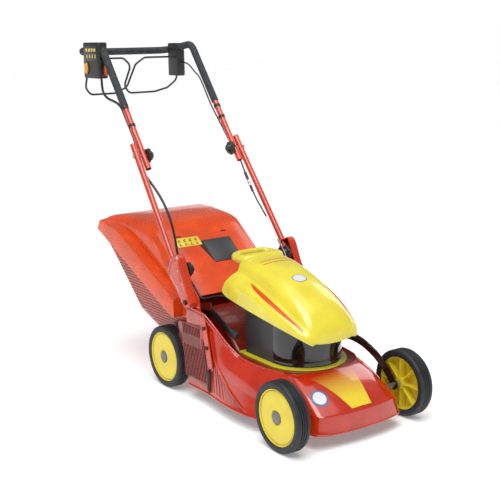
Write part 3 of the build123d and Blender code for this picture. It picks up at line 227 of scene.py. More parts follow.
# belt in rubber and cord, push button and inlet in ABS, printed vinyl labels
belt_rubber = finish("belt_rubber", "#202020", 0.7, 1.0, 0.6, shade=0.2)
start_plastic = finish("start_plastic", "#E39A1C", 0.3, 2, 0.1, shade=0.04, coat=0.3)
inlet_plastic = finish("inlet_plastic", "#D65A12", 0.32, 2, 0.1, shade=0.05, coat=0.3)
label_yellow = finish("label_yellow", "#E8C93A", 0.3, 3, 0.05, shade=0.05, coat=0.5)
label_ink = finish("label_ink", "#4A3A16", 0.4, 3, 0.05, shade=0.1)
badge_white = finish("badge_white", "#DCDEE2", 0.25, 3, 0.05, shade=0.04, coat=0.6)
badge_blue = finish("badge_blue", "#4C6A9C", 0.3, 3, 0.05, shade=0.1, coat=0.5)
print("materials", len(bpy.data.materials))

# %% [markdown]
# ## Making meshes
#
# Most shells here are grids: rows of points that run along the piece, joined to the next row. A
# Solidify modifier then gives the sheet its wall, and a Bevel softens the edges that a press or a
# mould leaves. Every finished mesh is turned to plain geometry and rides on one CAD body.

# %% Helpers for meshes
def bake(thing):
    """The object's evaluated shape as plain mesh, with no modifiers left."""
    bpy.context.view_layer.update()
    graph = bpy.context.evaluated_depsgraph_get()
    plain = bpy.data.meshes.new_from_object(thing.evaluated_get(graph))
    name, finishes = thing.name, [s.material for s in thing.material_slots]
    old = thing.data
    if isinstance(old, bpy.types.Mesh):
        thing.modifiers.clear()
        thing.data = plain
    else:
        bpy.data.objects.remove(thing)
        thing = add(name, plain)
    if not plain.materials:
        for item in finishes:
            plain.materials.append(item)
    return thing


WELD_M, ROD_ANGLE = 0.00002, 50


def settle(thing, body, stands_for, angle):
    """Bakes an object, smooths it up to an angle, and hands it to its body."""
    thing = bake(thing)
    thing.data.shade_smooth()
    thing.data.set_sharp_from_angle(angle=radians(angle))
    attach(thing, body)
    if stands_for:
        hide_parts(*stands_for)
    return thing


def sheet_mesh(name, points, faces, weld=0.0):
    """A mesh from points in mm, with its faces turned outwards."""
    mesh = bpy.data.meshes.new(name)
    mesh.from_pydata([Vector(p) * MM for p in points], [], faces)
    work = bmesh.new()
    work.from_mesh(mesh)
    if weld:
        bmesh.ops.remove_doubles(work, verts=work.verts, dist=weld)
    bmesh.ops.recalc_face_normals(work, faces=work.faces)
    work.to_mesh(mesh)
    work.free()
    return mesh


def piece(name, points, faces, material, body, stands_for=(), wall=0.0, bevel=0.0, rounds=0, angle=35,
        slot=None):
    """A mesh from points in mm. wall thickens a sheet inwards, bevel rounds its edges (both mm)."""
    mesh = sheet_mesh(name, points, faces, WELD_M)
    mesh.materials.append(material)
    thing = add(name, mesh)
    if rounds:
        soft = thing.modifiers.new("soft", "SUBSURF")
        soft.levels = soft.render_levels = rounds
    if wall:
        thick = thing.modifiers.new("wall", "SOLIDIFY")
        thick.thickness = wall * MM
        thick.offset = -1
        thick.use_even_offset = not rounds
    if bevel:
        edge = thing.modifiers.new("edge", "BEVEL")
        edge.width = bevel * MM
        edge.segments = 2
        edge.limit_method = "ANGLE"
        edge.angle_limit = radians(angle)
        edge.harden_normals = False
    return settle(thing, body, stands_for, angle)


def grid(rows, closed=False):
    """Points and faces from rows of equal length."""
    width = len(rows[0])
    points = [p for row in rows for p in row]
    faces = []
    for r in range(len(rows) - 1):
        for c in range(width if closed else width - 1):
            d = (c + 1) % width
            faces.append((r * width + c, r * width + d, (r + 1) * width + d, (r + 1) * width + c))
    return points, faces


def slab(outline, x0, x1):
    """A flat piece: an outline of (y, z), from x0 to x1."""
    n = len(outline)
    points = [(x0, y, z) for y, z in outline] + [(x1, y, z) for y, z in outline]
    faces = [tuple(range(n)), tuple(range(2 * n - 1, n - 1, -1))]
    faces += [(i, (i + 1) % n, n + (i + 1) % n, n + i) for i in range(n)]
    return points, faces


def turned(profile, centre, segments=64):
    """A profile of (along, radius) spun round the X axis through centre.
    A profile that starts and ends on the axis stays open; any other is closed into a ring."""
    rows = []
    for a in (2 * pi * k / segments for k in range(segments + 1)):
        rows.append([Vector(centre) + Vector((along, radius * cos(a), radius * sin(a))) for along,
            radius in profile])
    return grid(rows, closed=profile[0][1] > 0.5)


def join(*shapes):
    """Several (points, faces) shapes as one."""
    points, faces = [], []
    for some_points, some_faces in shapes:
        start = len(points)
        points += list(some_points)
        faces += [tuple(i + start for i in face) for face in some_faces]
    return points, faces


def rod(name, route, radius, material, body, stands_for=(), smooth=True, resolution=6):
    """A round rod, tube or cable along a route of points in mm."""
    line = bpy.data.curves.new(name, "CURVE")
    line.dimensions = "3D"
    line.bevel_depth = radius * MM
    line.bevel_resolution = 4
    line.resolution_u = resolution
    line.use_fill_caps = True
    spline = line.splines.new("NURBS" if smooth else "POLY")
    spline.points.add(len(route) - 1)
    for point, place in zip(spline.points, route):
        point.co = (*(Vector(place) * MM), 1.0)
    if smooth:
        spline.order_u = 3
        spline.use_endpoint_u = True
    line.materials.append(material)
    return settle(add(name, line), body, stands_for, ROD_ANGLE)


def repaint(node, material):
    """A CAD node keeps its shape and gets a finish."""
    for place in nodes[node].material_slots:
        place.material = material


# %% [markdown]
# ## Camera, floor and light
#
# The camera stands in front of the mower, a little above its handle, and looks down at it. The
# floor is plain and pale. Large area lights stand in for the soft boxes of a studio.

# %% Camera, floor and light
camera_data = bpy.data.cameras.new("camera")
camera_data.sensor_width = 36
camera_data.lens = 72.17
camera_data.clip_end = 50
camera = add("camera", camera_data)
turn, down, roll = radians(35.0), radians(12.14), radians(-0.954)
ahead = Vector((sin(turn) * cos(down), cos(turn) * cos(down), -sin(down)))
right = Vector((cos(turn), -sin(turn), 0))
up = right.cross(ahead)
side_axis = right * cos(roll) + up * sin(roll)
up_axis = up * cos(roll) - right * sin(roll)
stand = Matrix((side_axis, up_axis, -ahead)).transposed().to_4x4()
stand.translation = Vector((-1.7535, -2.6223, 1.1102))
camera.matrix_world = stand
bpy.context.scene.camera = camera

floor_mesh = bpy.data.meshes.new("floor")
floor_mesh.from_pydata([(-30, -30, 0), (30, -30, 0), (30, 30, 0), (-30, 30, 0)], [], [(0, 1, 2, 3)])
floor = add("floor", floor_mesh)
floor_paint = finish("floor_paint", "#F4F4F4", 0.7, 30, 0.0, shade=0.0)
floor_shader = floor_paint.node_tree.nodes["Principled BSDF"]
floor_shader.inputs["Emission Color"].default_value = (1, 1, 1, 1)
floor_shader.inputs["Emission Strength"].default_value = 0.22
floor_mesh.materials.append(floor_paint)
floor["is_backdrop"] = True

world = bpy.data.worlds.new("studio")
world.use_nodes = True
sky = world.node_tree
up_part = put(sky, "ShaderNodeSeparateXYZ", {"Vector": put(sky, "ShaderNodeTexCoord").outputs["Generated"]})
band = put(sky, "ShaderNodeValToRGB", {"Fac": up_part.outputs["Z"]})
for stop, height, shade in zip(band.color_ramp.elements, (0.06, 0.16), ((1, 1, 1, 1), (0.24, 0.24, 0.25, 1))):
    stop.position, stop.color = height, shade
sky.links.new(band.outputs["Color"], sky.nodes["Background"].inputs["Color"])
bpy.context.scene.world = world
bpy.context.scene.view_settings.view_transform = "Standard"


def soft_box(name, place, aim, width, height, watts):
    """A rectangular area light that looks at a point."""
    data = bpy.data.lights.new(name, "AREA")
    data.shape = "RECTANGLE"
    data.size, data.size_y, data.energy = width, height, watts
    lamp = add(name, data)
    lamp.location = place
    lamp.rotation_euler = (Vector(aim) - Vector(place)).to_track_quat("-Z", "Y").to_euler()


soft_box("over", (0.1, -0.5, 3.0), (0, -0.1, 0.2), 2.2, 1.8, 16)
soft_box("front_left", (-2.6, -1.2, 2.4), (0, -0.2, 0.3), 1.0, 1.6, 12)
soft_box("right_rim", (2.6, 0.4, 1.7), (0, 0, 0.3), 0.8, 2.0, 12)

ceiling_data = bpy.data.lights.new("ceiling", "SUN")
ceiling_data.energy = 2.3
ceiling_data.angle = radians(45)
ceiling = add("ceiling", ceiling_data)
ceiling.rotation_euler = Vector((0.35, 0.30, -1.0)).to_track_quat("-Z", "Y").to_euler()

# %% [markdown]
# ## Wheels
#
# A real wheel of this kind is a moulded plastic disc with a solid rubber tyre. Both are turned
# shapes: a closed profile spun round the axle. The grooves of the tread are part of the profile.

# %% Wheels
WHEEL_R, TYRE_HALF, AXLE_Z = 100.0, 22.5, 100.0
wheel_at = {
    "front_left": (-224.5, -577), "front_right": (224.5, -577),
    "rear_left": (-195.5, 67), "rear_right": (195.5, 67),
}


def tyre_profile(grooves=3, depth=4.0, gap=2.6):
    """Half-round shoulders and a flat tread with grooves, as (along, radius)."""
    side = [(-TYRE_HALF + 3, 79), (-TYRE_HALF + 0.6, 82), (-TYRE_HALF, 85), (-TYRE_HALF, 90)]
    side += [(-TYRE_HALF + 6 - 6 * cos(a), 93 + 6.6 * sin(a)) for a in (0.2, 0.55, 0.9, 1.25)]
    tread = []
    pitch = 30.0 / (grooves + 1)
    for i in range(grooves):
        x = -15 + pitch * (i + 1)
        tread += [(x - gap / 2 - 0.8, WHEEL_R), (x - gap / 2, WHEEL_R - 0.8),
            (x - gap / 2 + 0.3, WHEEL_R - depth), (x + gap / 2 - 0.3, WHEEL_R - depth),
            (x + gap / 2, WHEEL_R - 0.8), (x + gap / 2 + 0.8, WHEEL_R)]
    other = [(-x, r) for x, r in reversed(side)]
    return side + [(-15.5, WHEEL_R)] + tread + [(15.5, WHEEL_R)] + other


def disc_profile(side):
    """The disc, its lip and its hub. side is +1 where +X is the outside."""
    half = TYRE_HALF
    shape = [(-half + 4, 8.05), (-half + 4, 17), (half - 13, 17), (half - 14, 24), (half - 15, 66),
        (half - 18, 73), (-half + 6, 75), (-half + 5, 76), (-half + 5, 80), (half - 3.5, 80),
        (half - 2.6, 79.4), (half - 2.6, 77.6), (half - 3.4, 76.6), (half - 7, 76), (half - 8, 75),
        (half - 7.5, 74), (half - 5, 73.4), (half - 4, 71.5), (half - 3.4, 60), (half - 2.6, 40),
        (half - 2.0, 24), (half - 2.2, 21.5), (half - 4, 20.5), (half - 7, 20), (half - 7, 8.05)]
    return [(side * x, r) for x, r in shape]


for name, (x, y) in wheel_at.items():
    side = 1 if x > 0 else -1
    loop = tyre_profile()
    piece("rubber_" + name, *turned(loop, (x, y, AXLE_Z), 96), tyre_rubber, "wheel_" + name,
          ("tyre_" + name,), angle=28)
    loop = disc_profile(side)
    piece("disc_" + name, *turned(loop, (x, y, AXLE_Z), 96), disc_plastic, "wheel_" + name,
          ("wheel_disc_" + name,), angle=25)

# %% [markdown]
# Inside each wheel, ribs join the hub to the rim. Geometry Nodes put one small rib in place and
# repeat it round the axle, so the count is one number.

# %% Ribs inside the wheels
def new_tree(title, sizes):
    """An empty Geometry Nodes tree: named inputs, of the kind of their values, and one geometry output."""
    tree = bpy.data.node_groups.new(title, "GeometryNodeTree")
    kinds = {int: "NodeSocketInt", float: "NodeSocketFloat", tuple: "NodeSocketVector",
        type(None): "NodeSocketObject"}
    for label, value in sizes.items():
        tree.interface.new_socket(label, in_out="INPUT", socket_type=kinds[type(value)]).default_value = value
    tree.interface.new_socket("Geometry", in_out="OUTPUT", socket_type="NodeSocketGeometry")
    return tree, put(tree, "NodeGroupInput").outputs, put(tree, "NodeGroupOutput")


def close_tree(tree, result, geometry, material):
    """The last nodes of every tree: real geometry, then its finish."""
    real = put(tree, "GeometryNodeRealizeInstances", {"Geometry": geometry})
    painted = put(tree, "GeometryNodeSetMaterial", {"Geometry": real.outputs["Geometry"],
        "Material": material})
    tree.links.new(painted.outputs["Geometry"], result.inputs["Geometry"])


def grow(name, tree, values, body):
    """Runs a tree on an empty mesh with these inputs and keeps the result as a plain piece."""
    thing = add(name, bpy.data.meshes.new(name))
    step = thing.modifiers.new("grow", "NODES")
    step.node_group = tree
    for item in tree.interface.items_tree:
        if item.item_type == "SOCKET" and item.in_out == "INPUT" and item.name in values:
            value = values[item.name]
            step[item.identifier] = tuple(value) if isinstance(value, Vector) else value
    return settle(thing, body, (), 35)


tree, given, result = new_tree("wheel_ribs", {
    "Count": 8, "Thickness": 0.003, "Depth": 0.02,
    "Inner radius": 0.016, "Outer radius": 0.075,
    "Centre": (0, 0, 0),
})
spots = put(tree, "GeometryNodeMeshCircle", {"Vertices": given["Count"], "Radius": 0.001})
length = put(tree, "ShaderNodeMath", {0: given["Outer radius"], 1: given["Inner radius"]},
             operation="SUBTRACT")
middle = put(tree, "ShaderNodeMath", {0: given["Outer radius"], 1: given["Inner radius"]},
             operation="ADD")
half_way = put(tree, "ShaderNodeMath", {0: middle, 1: 0.5}, operation="MULTIPLY")
size = put(tree, "ShaderNodeCombineXYZ", {
    "X": given["Depth"], "Y": length, "Z": given["Thickness"]})
bar = put(tree, "GeometryNodeMeshCube", {"Size": size})
out_by = put(tree, "ShaderNodeCombineXYZ", {"Y": half_way})
bar_out = put(tree, "GeometryNodeTransform", {"Geometry": bar, "Translation": out_by})
index = put(tree, "GeometryNodeInputIndex")
share = put(tree, "ShaderNodeMath", {0: index, 1: given["Count"]}, operation="DIVIDE")
angle = put(tree, "ShaderNodeMath", {0: share, 1: 2 * pi}, operation="MULTIPLY")
spin = put(tree, "ShaderNodeCombineXYZ", {"X": angle})
copies = put(tree, "GeometryNodeInstanceOnPoints", {
    "Points": spots, "Instance": bar_out, "Rotation": spin})
flat = put(tree, "GeometryNodeSetPosition", {"Geometry": copies, "Position": (0, 0, 0)})
moved = put(tree, "GeometryNodeTransform", {"Geometry": flat, "Translation": given["Centre"]})
close_tree(tree, result, moved, disc_plastic)
for name, (x, y) in wheel_at.items():
    inward = -1 if x > 0 else 1
    grow("ribs_" + name, tree, {"Centre": mm(x + inward * 6, y, AXLE_Z)}, "wheel_" + name)

# %% Hub caps
for where, x, y, body in (("front", 224.5, -577, "front_carrier"), ("rear", 195.5, 67, "drive_shaft")):
    outer = TYRE_HALF - 7 + 0.5
    dome = [(x + outer, 0.01), (x + outer, 17), (x + outer + 4, 18), (x + outer + 5.2, 17.4),
        (x + outer + 6, 15.5), (x + outer + 6, 0.01)]
    cap = turned(dome, (0, y, AXLE_Z), 64)
    other = turned([(-a, r) for a, r in dome], (0, y, AXLE_Z), 64)
    piece("caps_" + where, *join(cap, other), cap_plastic, body, ("hub_caps_" + where,), angle=40)

# %% [markdown]
# ## Deck
#
# The deck is pressed from one steel sheet. Its skin is a grid: lines that run from the front
# round the flank to the rear, stacked from the lip to the upper rim. Behind the motor the rim
# climbs, so the upper lines follow a height that changes along the deck.

# %% Deck skin
low_line = [(0, -664), (60, -661), (112, -653), (137, -645), (150, -634), (155, -614), (158, -570),
    (170, -520), (190, -466), (212, -410), (218, -340), (214, -260), (206, -200), (203, -150), (203, -100),
    (203, -61)]
mid_line = [(0, -657), (60, -654), (108, -646), (131, -638), (143, -627), (148, -608), (150, -566),
    (158, -520), (174, -470), (193, -412), (200, -340), (201, -260), (202.5, -200), (203, -150), (203, -100),
    (203, -61)]
top_line = [(0, -520), (42, -516), (84, -506), (104, -497), (116, -488), (126, -476), (138, -452),
    (146, -420), (151, -392), (154, -362), (157, -322), (161, -282), (178, -230), (201, -152), (202.6, -100),
    (203, -61)]
STEPS = 5
lines = [curve_through([(x, y, 0) for x, y in line], STEPS) for line in (low_line, mid_line, top_line)]
rim_height = [(-540, 172), (-400, 172), (-330, 173), (-285, 178), (-245, 205), (-200, 250), (-165, 282),
    (-146, 293), (-60, 295)]


def deck_row(v):
    """One line of the skin: v is 0 at the lip, 1 at the crease and 2 at the rim."""
    row = []
    for low, mid, top in zip(*lines):
        rim = at(rim_height, top.y)
        crease = 92 + 30 * max(0.0, min(1.0, (low.y + 420) / 200)) if low.y > -420 else 92
        if v <= 1:
            spot = low.lerp(mid, v)
            z = 46 + (crease - 46) * v
        else:
            w = v - 1
            bulge = sin(pi * w) * (10 if top.y > -470 else 3)
            spot = mid.lerp(top, w)
            away = Vector((mid.x - top.x, mid.y - top.y, 0))
            if away.length > 1:
                spot += away.normalized() * bulge
            z = crease + (rim - crease) * w + (4 if top.y <= -470 else 8) * sin(pi * w)
        row.append(Vector((spot.x, spot.y, z)))
    return row


heights = [0, 0.3, 0.6, 0.85, 0.95, 1.0, 1.04, 1.1, 1.2, 1.32, 1.45, 1.6, 1.75, 1.88, 2.0]
half_rows = [deck_row(v) for v in heights]


def whole(row):
    """A row mirrored to the other side, from the rear of one flank round the front to the other."""
    return [Vector((-p.x, p.y, p.z)) for p in reversed(row[1:])] + row


lip_out = [p + Vector((4.5 if p.x > 1 else 0, -1 if p.y < -600 else 0, 0)) for p in half_rows[0]]
lip_row = [Vector((p.x, p.y, 45.0)) for p in lip_out]
lip_low = [Vector((p.x, p.y, 42.0)) for p in lip_out]
skin_rows = [whole(r) for r in [lip_low, lip_row] + half_rows]
deck_skin = piece("deck_skin", *grid(skin_rows), deck_enamel, "chassis", ("deck",), wall=2.6, bevel=0.8,
    angle=38, slot="painted_steel")

# %% Top plate, wings' inside, rear wall and chute hood
front_rim = [p for p in half_rows[-1] if p.y < -282]
plate_half = [(p.x - 1.5, p.y + 1.5, 171.5) for p in front_rim] + [(164, -275, 171.5), (184, -205, 171.5),
    (198, -150, 171.5), (198, -64, 171.5)]
plate = [(-x, y, z) for x, y, z in reversed(plate_half[1:])] + plate_half
# the top plate, rear wall, chute hood and lugs take the darkened enamel: painted shade inside the deck's
# recess
piece("deck_top", plate, [tuple(range(len(plate)))], recess_enamel, "chassis", wall=2.5, slot="painted_steel")

wall_outline = [(-200, 150), (200, 150), (200, 293), (122, 293), (112, 290), (112, 140), (-112, 140),
    (-112, 290), (-122, 293), (-200, 293)]
wall, wall_faces = slab(wall_outline, -64, -60.2)
piece("deck_rear_wall", [(x, y, z) for y, x, z in wall], wall_faces, recess_enamel, "chassis", bevel=0.8,
    slot="painted_steel")

hood_side = [(-225, 171), (-212, 182), (-160, 226), (-120, 256), (-104, 266), (-85, 273), (-61, 278)]
hood_rows = []
edge = 122
for y, z in hood_side:
    hood_rows.append([(-edge, y, 171), (-edge, y, max(171, z - 9)), (-edge + 4, y, max(171, z - 3)),
        (-edge + 12, y, z), (0, y, z + 1.5 if z > 175 else z), (edge - 12, y, z),
        (edge - 4, y, max(171, z - 3)), (edge, y, max(171, z - 9)), (edge, y, 171)])
piece("chute_hood", *grid(hood_rows), recess_enamel, "chassis", wall=2.5, angle=30, slot="painted_steel")

# %% Lugs for the rear axle and boss for the front arm
shapes = []
for side in (-1, 1):
    lug = [(-62, 108), (-36, 108), (-22, 108)] + [(-22 + 14 * sin(a), 122 - 14 * cos(a))
        for a in (0.5, 1.0, 1.57, 2.1, 2.7)] + [(-36, 136), (-62, 136)]
    shapes.append(slab(lug, side * 140, side * 144))
boss = [(168, 0.01), (168, 13), (181, 13), (182.4, 12), (182.4, 0.01)]
shapes.append(turned(boss, (0, -240, 195), 40))
piece("deck_lugs", *join(*shapes), recess_enamel, "chassis", bevel=0.6, slot="painted_steel")

# %% [markdown]
# A pressed rim runs along the wings and the front of the recess as two rolled lines. They follow
# the skin's last row, so they are swept along its points.

# %% Rolled rim lines
for label, lift, push, radius in (("upper", 0.0, -1.0, 3.0), ("lower", -9.0, 2.2, 2.2)):
    for side, tag in ((-1, "left"), (1, "right")):
        route = []
        for p, q in zip(half_rows[-1], half_rows[-3]):
            if p.y > -470:
                away = Vector((q.x - p.x, q.y - p.y, 0))
                away = away.normalized() if away.length > 0.5 else Vector((0, 0, 0))
                route.append((side * (p.x + away.x * push), p.y + away.y * push, p.z + lift))
        rod(f"rim_{label}_{tag}", route[::2], radius, deck_enamel, "chassis")

# %% [markdown]
# ## Ribbed side panels
#
# A moulded panel with upright ribs stands in front of each rear wheel, and a fan of ribs fills
# the flank beside the bar. Geometry Nodes repeat one rib along a line.

# %% Ribs on a panel
tree, given, result = new_tree("panel_ribs", {
    "Count": 17, "Pitch": 0.009, "Thickness": 0.0034,
    "Depth": 0.005, "Height": 0.17, "Lean": -0.14,
    "Start": (0, 0, 0),
})
size = put(tree, "ShaderNodeCombineXYZ", {
    "X": given["Depth"], "Y": given["Thickness"], "Z": given["Height"]})
bar = put(tree, "GeometryNodeMeshCube", {"Size": size})
step = put(tree, "ShaderNodeCombineXYZ", {"Y": given["Pitch"]})
row = put(tree, "GeometryNodeMeshLine", {"Count": given["Count"], "Offset": step})
lean = put(tree, "ShaderNodeCombineXYZ", {"X": given["Lean"]})
copies = put(tree, "GeometryNodeInstanceOnPoints", {
    "Points": row, "Instance": bar, "Rotation": lean})
moved = put(tree, "GeometryNodeTransform", {"Geometry": copies, "Translation": given["Start"]})
close_tree(tree, result, moved, recess_enamel)

# the panels and their ribs take the darkened enamel: painted shade behind the bar and in front of the wheel
panel_outline = [(-186, 62), (-45, 70), (-45, 135), (-30, 166), (-16, 190), (-14, 236), (-150, 250),
    (-186, 210)]
shapes = [slab(panel_outline, side * 203.2, side * 206.0) for side in (-1, 1)]
piece("panel_backs", *join(*shapes), recess_enamel, "chassis", ("side_grilles",), bevel=0.6)
for side, tag in ((-1, "left"), (1, "right")):
    grow("panel_ribs_" + tag, tree, {"Count": 14, "Height": 0.138, "Start": mm(side * 207.4, -168, 142),
                                     "Depth": 0.003}, "chassis")
    grow("panel_ribs_high_" + tag, tree, {"Count": 11, "Height": 0.062, "Depth": 0.003,
                                          "Start": mm(side * 207.4, -136, 206)}, "chassis")

# %% Fan of ribs on the flank
# The guide along the top is a curve through three points, the guide along the bottom is straight.
# Each rib joins one point of each, and the nearest point of the skin pulls it on to the steel.
tree, given, result = new_tree("fan_ribs", {
    "Count": 9, "Radius": 0.0017, "Skin": None,
    "Top start": (0, 0, 0), "Top middle": (0, 0, 0), "Top end": (0, 0, 0),
    "Foot start": (0, 0, 0), "Foot end": (0, 0, 0),
})
sheet = put(tree, "GeometryNodeMeshGrid", {"Size X": 1.0, "Size Y": 1.0, "Vertices X": given["Count"],
    "Vertices Y": 14})
ends = put(tree, "GeometryNodeInputMeshEdgeVertices")
gap = put(tree, "ShaderNodeVectorMath", {0: ends.outputs["Position 1"], 1: ends.outputs["Position 2"]},
    operation="SUBTRACT")
gap_x = put(tree, "ShaderNodeSeparateXYZ", {"Vector": gap})
reach = put(tree, "ShaderNodeMath", {0: gap_x}, operation="ABSOLUTE")
crosswise = put(tree, "ShaderNodeMath", {0: reach, 1: 0.001}, operation="GREATER_THAN")
combed = put(tree, "GeometryNodeDeleteGeometry", {"Geometry": sheet, "Selection": crosswise}, domain="EDGE",
    mode="EDGE_FACE")
spot = put(tree, "ShaderNodeSeparateXYZ", {"Vector": put(tree,
    "GeometryNodeInputPosition").outputs["Position"]})
share_x = put(tree, "ShaderNodeMath", {0: spot.outputs["X"], 1: 0.5}, operation="ADD").outputs[0]
share_y = put(tree, "ShaderNodeMath", {0: spot.outputs["Y"], 1: 0.5}, operation="ADD").outputs[0]


def blend_points(share, a, b):
    """A mix of two vectors by a share from 0 to 1."""
    return put(tree, "ShaderNodeMix", {0: share, 4: a, 5: b}, data_type="VECTOR").outputs[1]


first = blend_points(share_x, given["Top start"], given["Top middle"])
second = blend_points(share_x, given["Top middle"], given["Top end"])
head = blend_points(share_x, first, second)
foot = blend_points(share_x, given["Foot start"], given["Foot end"])
spread_out = put(tree, "GeometryNodeSetPosition", {"Geometry": combed,
    "Position": blend_points(share_y, foot, head)})
skin = put(tree, "GeometryNodeObjectInfo", {"Object": given["Skin"]})
nearest = put(tree, "GeometryNodeProximity", {0: skin.outputs["Geometry"]}, target_element="FACES")
laid = put(tree, "GeometryNodeSetPosition", {"Geometry": spread_out, "Position": nearest})
wires = put(tree, "GeometryNodeMeshToCurve", {"Mesh": laid})
section = put(tree, "GeometryNodeCurvePrimitiveCircle", {"Resolution": 8, "Radius": given["Radius"]})
bars = put(tree, "GeometryNodeCurveToMesh", {"Curve": wires, "Profile Curve": section, "Fill Caps": True})
# the fan ribs take the darkened enamel as painted shade
close_tree(tree, result, bars, recess_enamel)
for side, tag in ((-1, "left"), (1, "right")):
    grow("fan_ribs_" + tag, tree, {"Skin": deck_skin, "Top start": mm(side * 210, -192, 214),
        "Top middle": mm(side * 212, -206, 148), "Top end": mm(side * 214, -262, 112),
        "Foot start": mm(side * 214, -192, 56), "Foot end": mm(side * 224, -352, 56)}, "chassis")

# %% Bright fin in front of the fan, black clip at the bar's foot
deck_surface = surface_of(deck_skin)
fin_line = [(-206, -186, 240), (-206, -196, 200), (-207, -206, 172), (-208, -220, 146), (-210, -252, 116),
    (-212, -298, 88), (-218, -362, 62), (-220, -392, 52)]
for side, tag in ((-1, "left"), (1, "right")):
    path = curve_through([(-side * x, y, z) for x, y, z in fin_line], 6)
    rows = []
    for k, p in enumerate(path):
        hit, normal, _, _ = deck_surface.find_nearest(p * MM)
        hit = hit / MM
        normal = Vector((abs(normal.x) * side, normal.y, abs(normal.z)))
        run = (path[min(k + 1, len(path) - 1)] - path[max(k - 1, 0)]).normalized()
        across = run.cross(normal).normalized()
        high = 5.5 * min(1.0, k / 4 + 0.2, (len(path) - 1 - k) / 5 + 0.1)
        rows.append([hit - across * 3.4 - normal, hit - across * 2.2 + normal * high,
            hit + across * 0.6 + normal * high, hit + across * 3.0 - normal])
    points, faces = grid(rows, closed=True)
    faces += [(0, 1, 2, 3), tuple(range(len(points) - 1, len(points) - 5, -1))]
    piece("fin_" + tag, points, faces, tube_enamel, "chassis", bevel=0.5, angle=40)
clip = [(-196, 116), (-180, 118), (-179, 60), (-184, 50), (-190, 50), (-193, 60)]
shapes = [slab(clip, side * 206.2, side * 210.2) for side in (-1, 1)]
shapes += [slab([(-191, 108), (-185, 108), (-184, 64), (-188, 62)], side * 210.2, side * 211.4)
    for side in (-1, 1)]
piece("bar_clips", *join(*shapes), control_plastic, "chassis", bevel=0.6)

# %% [markdown]
# ## Motor, base ring and housing
#
# The housing has a round, glossy front and flat, satin sides, so it is two finishes on one shell.
# The yellow ring under it follows the same outline, a little wider.

# %% Housing outline: round at the front, square at the back
MOTOR_Y, MOTOR_R, MOTOR_BACK = -387.0, 112, -242


def u_loop(radius, back, steps=48, corner=10):
    """Outline with a round front and a square back with small corners, anticlockwise from above."""
    loop = [(radius * sin(a), MOTOR_Y - radius * cos(a)) for a in (-pi / 2 + pi * k / steps
        for k in range(steps + 1))]
    for start, cx in ((0, radius - corner), (pi / 2, -radius + corner)):
        for a in (start + pi / 2 * k / 4 for k in range(5)):
            loop.append((cx + corner * cos(a), back - corner + corner * sin(a)))
    return loop


skirt_edge = [(-534, 255), (-514, 269), (-480, 281), (-430, 294), (-370, 306), (-310, 316), (-250, 325),
    (-205, 331), (-178, 334), (-140, 340)]


def edge_z(y):
    """Height of the cover's lower edge, lowest at the nose."""
    return at(skirt_edge, y)


ring_rows = []
for radius, back, z in ((112, -242, 177), (124, -230, 177), (126.4, -227.6, 176.2), (127, -227, 174.5),
        (127, -227, 172.2)):
    ring_rows.append([(x, y, z) for x, y in u_loop(radius, back)])
inner = [(x, y, 172.2) for x, y in u_loop(MOTOR_R, MOTOR_BACK)]
piece("base_ring", *grid(ring_rows + [inner], closed=True), ring_plastic, "chassis", ("motor_base_ring",),
    angle=40)

shell_rows = []
for inset, z in ((0, 177.2), (0, 184), (0.6, 186), (0.6, 190), (0, 192)):
    shell_rows.append([(x, y, z) for x, y in u_loop(MOTOR_R - inset, MOTOR_BACK - inset)])
for share in (0.5, 1.0):
    shell_rows.append([(x, y, 192 + (edge_z(y) + 12 - 192) * share) for x, y in u_loop(MOTOR_R, MOTOR_BACK)])
housing = piece("housing_shell", *grid(shell_rows, closed=True), housing_gloss, "chassis",
    ("motor_housing",), wall=2.8, angle=50)
housing.data.materials.append(housing_satin)
SATIN_FROM = -372  # behind this y the housing is satin, before it glossy
for face in housing.data.polygons:
    if face.center.y > SATIN_FROM * MM:
        face.material_index = 1

# %% [markdown]
# ## Motor cover
#
# The cover is one moulding: a hump over the motor, a valley on each side, and a skirt. A coarse
# cage of cross-sections is enough; Subdivision Surface rounds it the way the mould does.

# %% Cover shell
# y, top height, half width of the hump, half width of the skirt, height of the valley, of the ridge
cover_cuts = [
    (-534.0, 268.0, 58.0, 74.0, 264.0, 261.0),
    (-529.0, 290.0, 66.0, 86.0, 276.0, 273.0),
    (-508.0, 326.0, 74.0, 101.0, 296.0, 293.0),
    (-476.0, 354.0, 78.0, 113.0, 313.0, 312.0),
    (-430.0, 383.0, 79.0, 124.0, 333.0, 333.0),
    (-370.0, 411.0, 80.0, 131.0, 358.0, 359.0),
    (-310.0, 432.0, 80.0, 135.0, 378.0, 377.0),
    (-250.0, 446.0, 80.0, 135.5, 392.0, 388.0),
    (-205.0, 452.0, 80.0, 134.0, 402.0, 390.0),
    (-178.0, 455.0, 79.0, 131.0, 406.0, 388.0),
]


def cover_ring(y, top, hump, skirt, valley, ridge):
    """One cross-section of the cover, from the lower edge over the hump to the other lower edge."""
    low = edge_z(y)
    drop = min(20.0, (top - valley) * 0.45)
    step = min(14.0, (ridge - low) * 0.3)
    half = [(0, top), (hump * 0.45, top - 0.05 * drop), (hump * 0.8, top - 0.35 * drop), (hump, top - drop),
        (hump + 5, (top - drop + valley) / 2), (hump + 9, valley), (hump + 0.4 * (skirt - hump), valley),
        (skirt - 12 if skirt - 12 > hump + 10 else (skirt + hump + 10) / 2, ridge),
        (skirt - 2, ridge - step), (skirt, (ridge - step + low) / 2), (skirt, low)]
    return mirrored(half, y)


cover_rows = [cover_ring(*cut) for cut in cover_cuts]
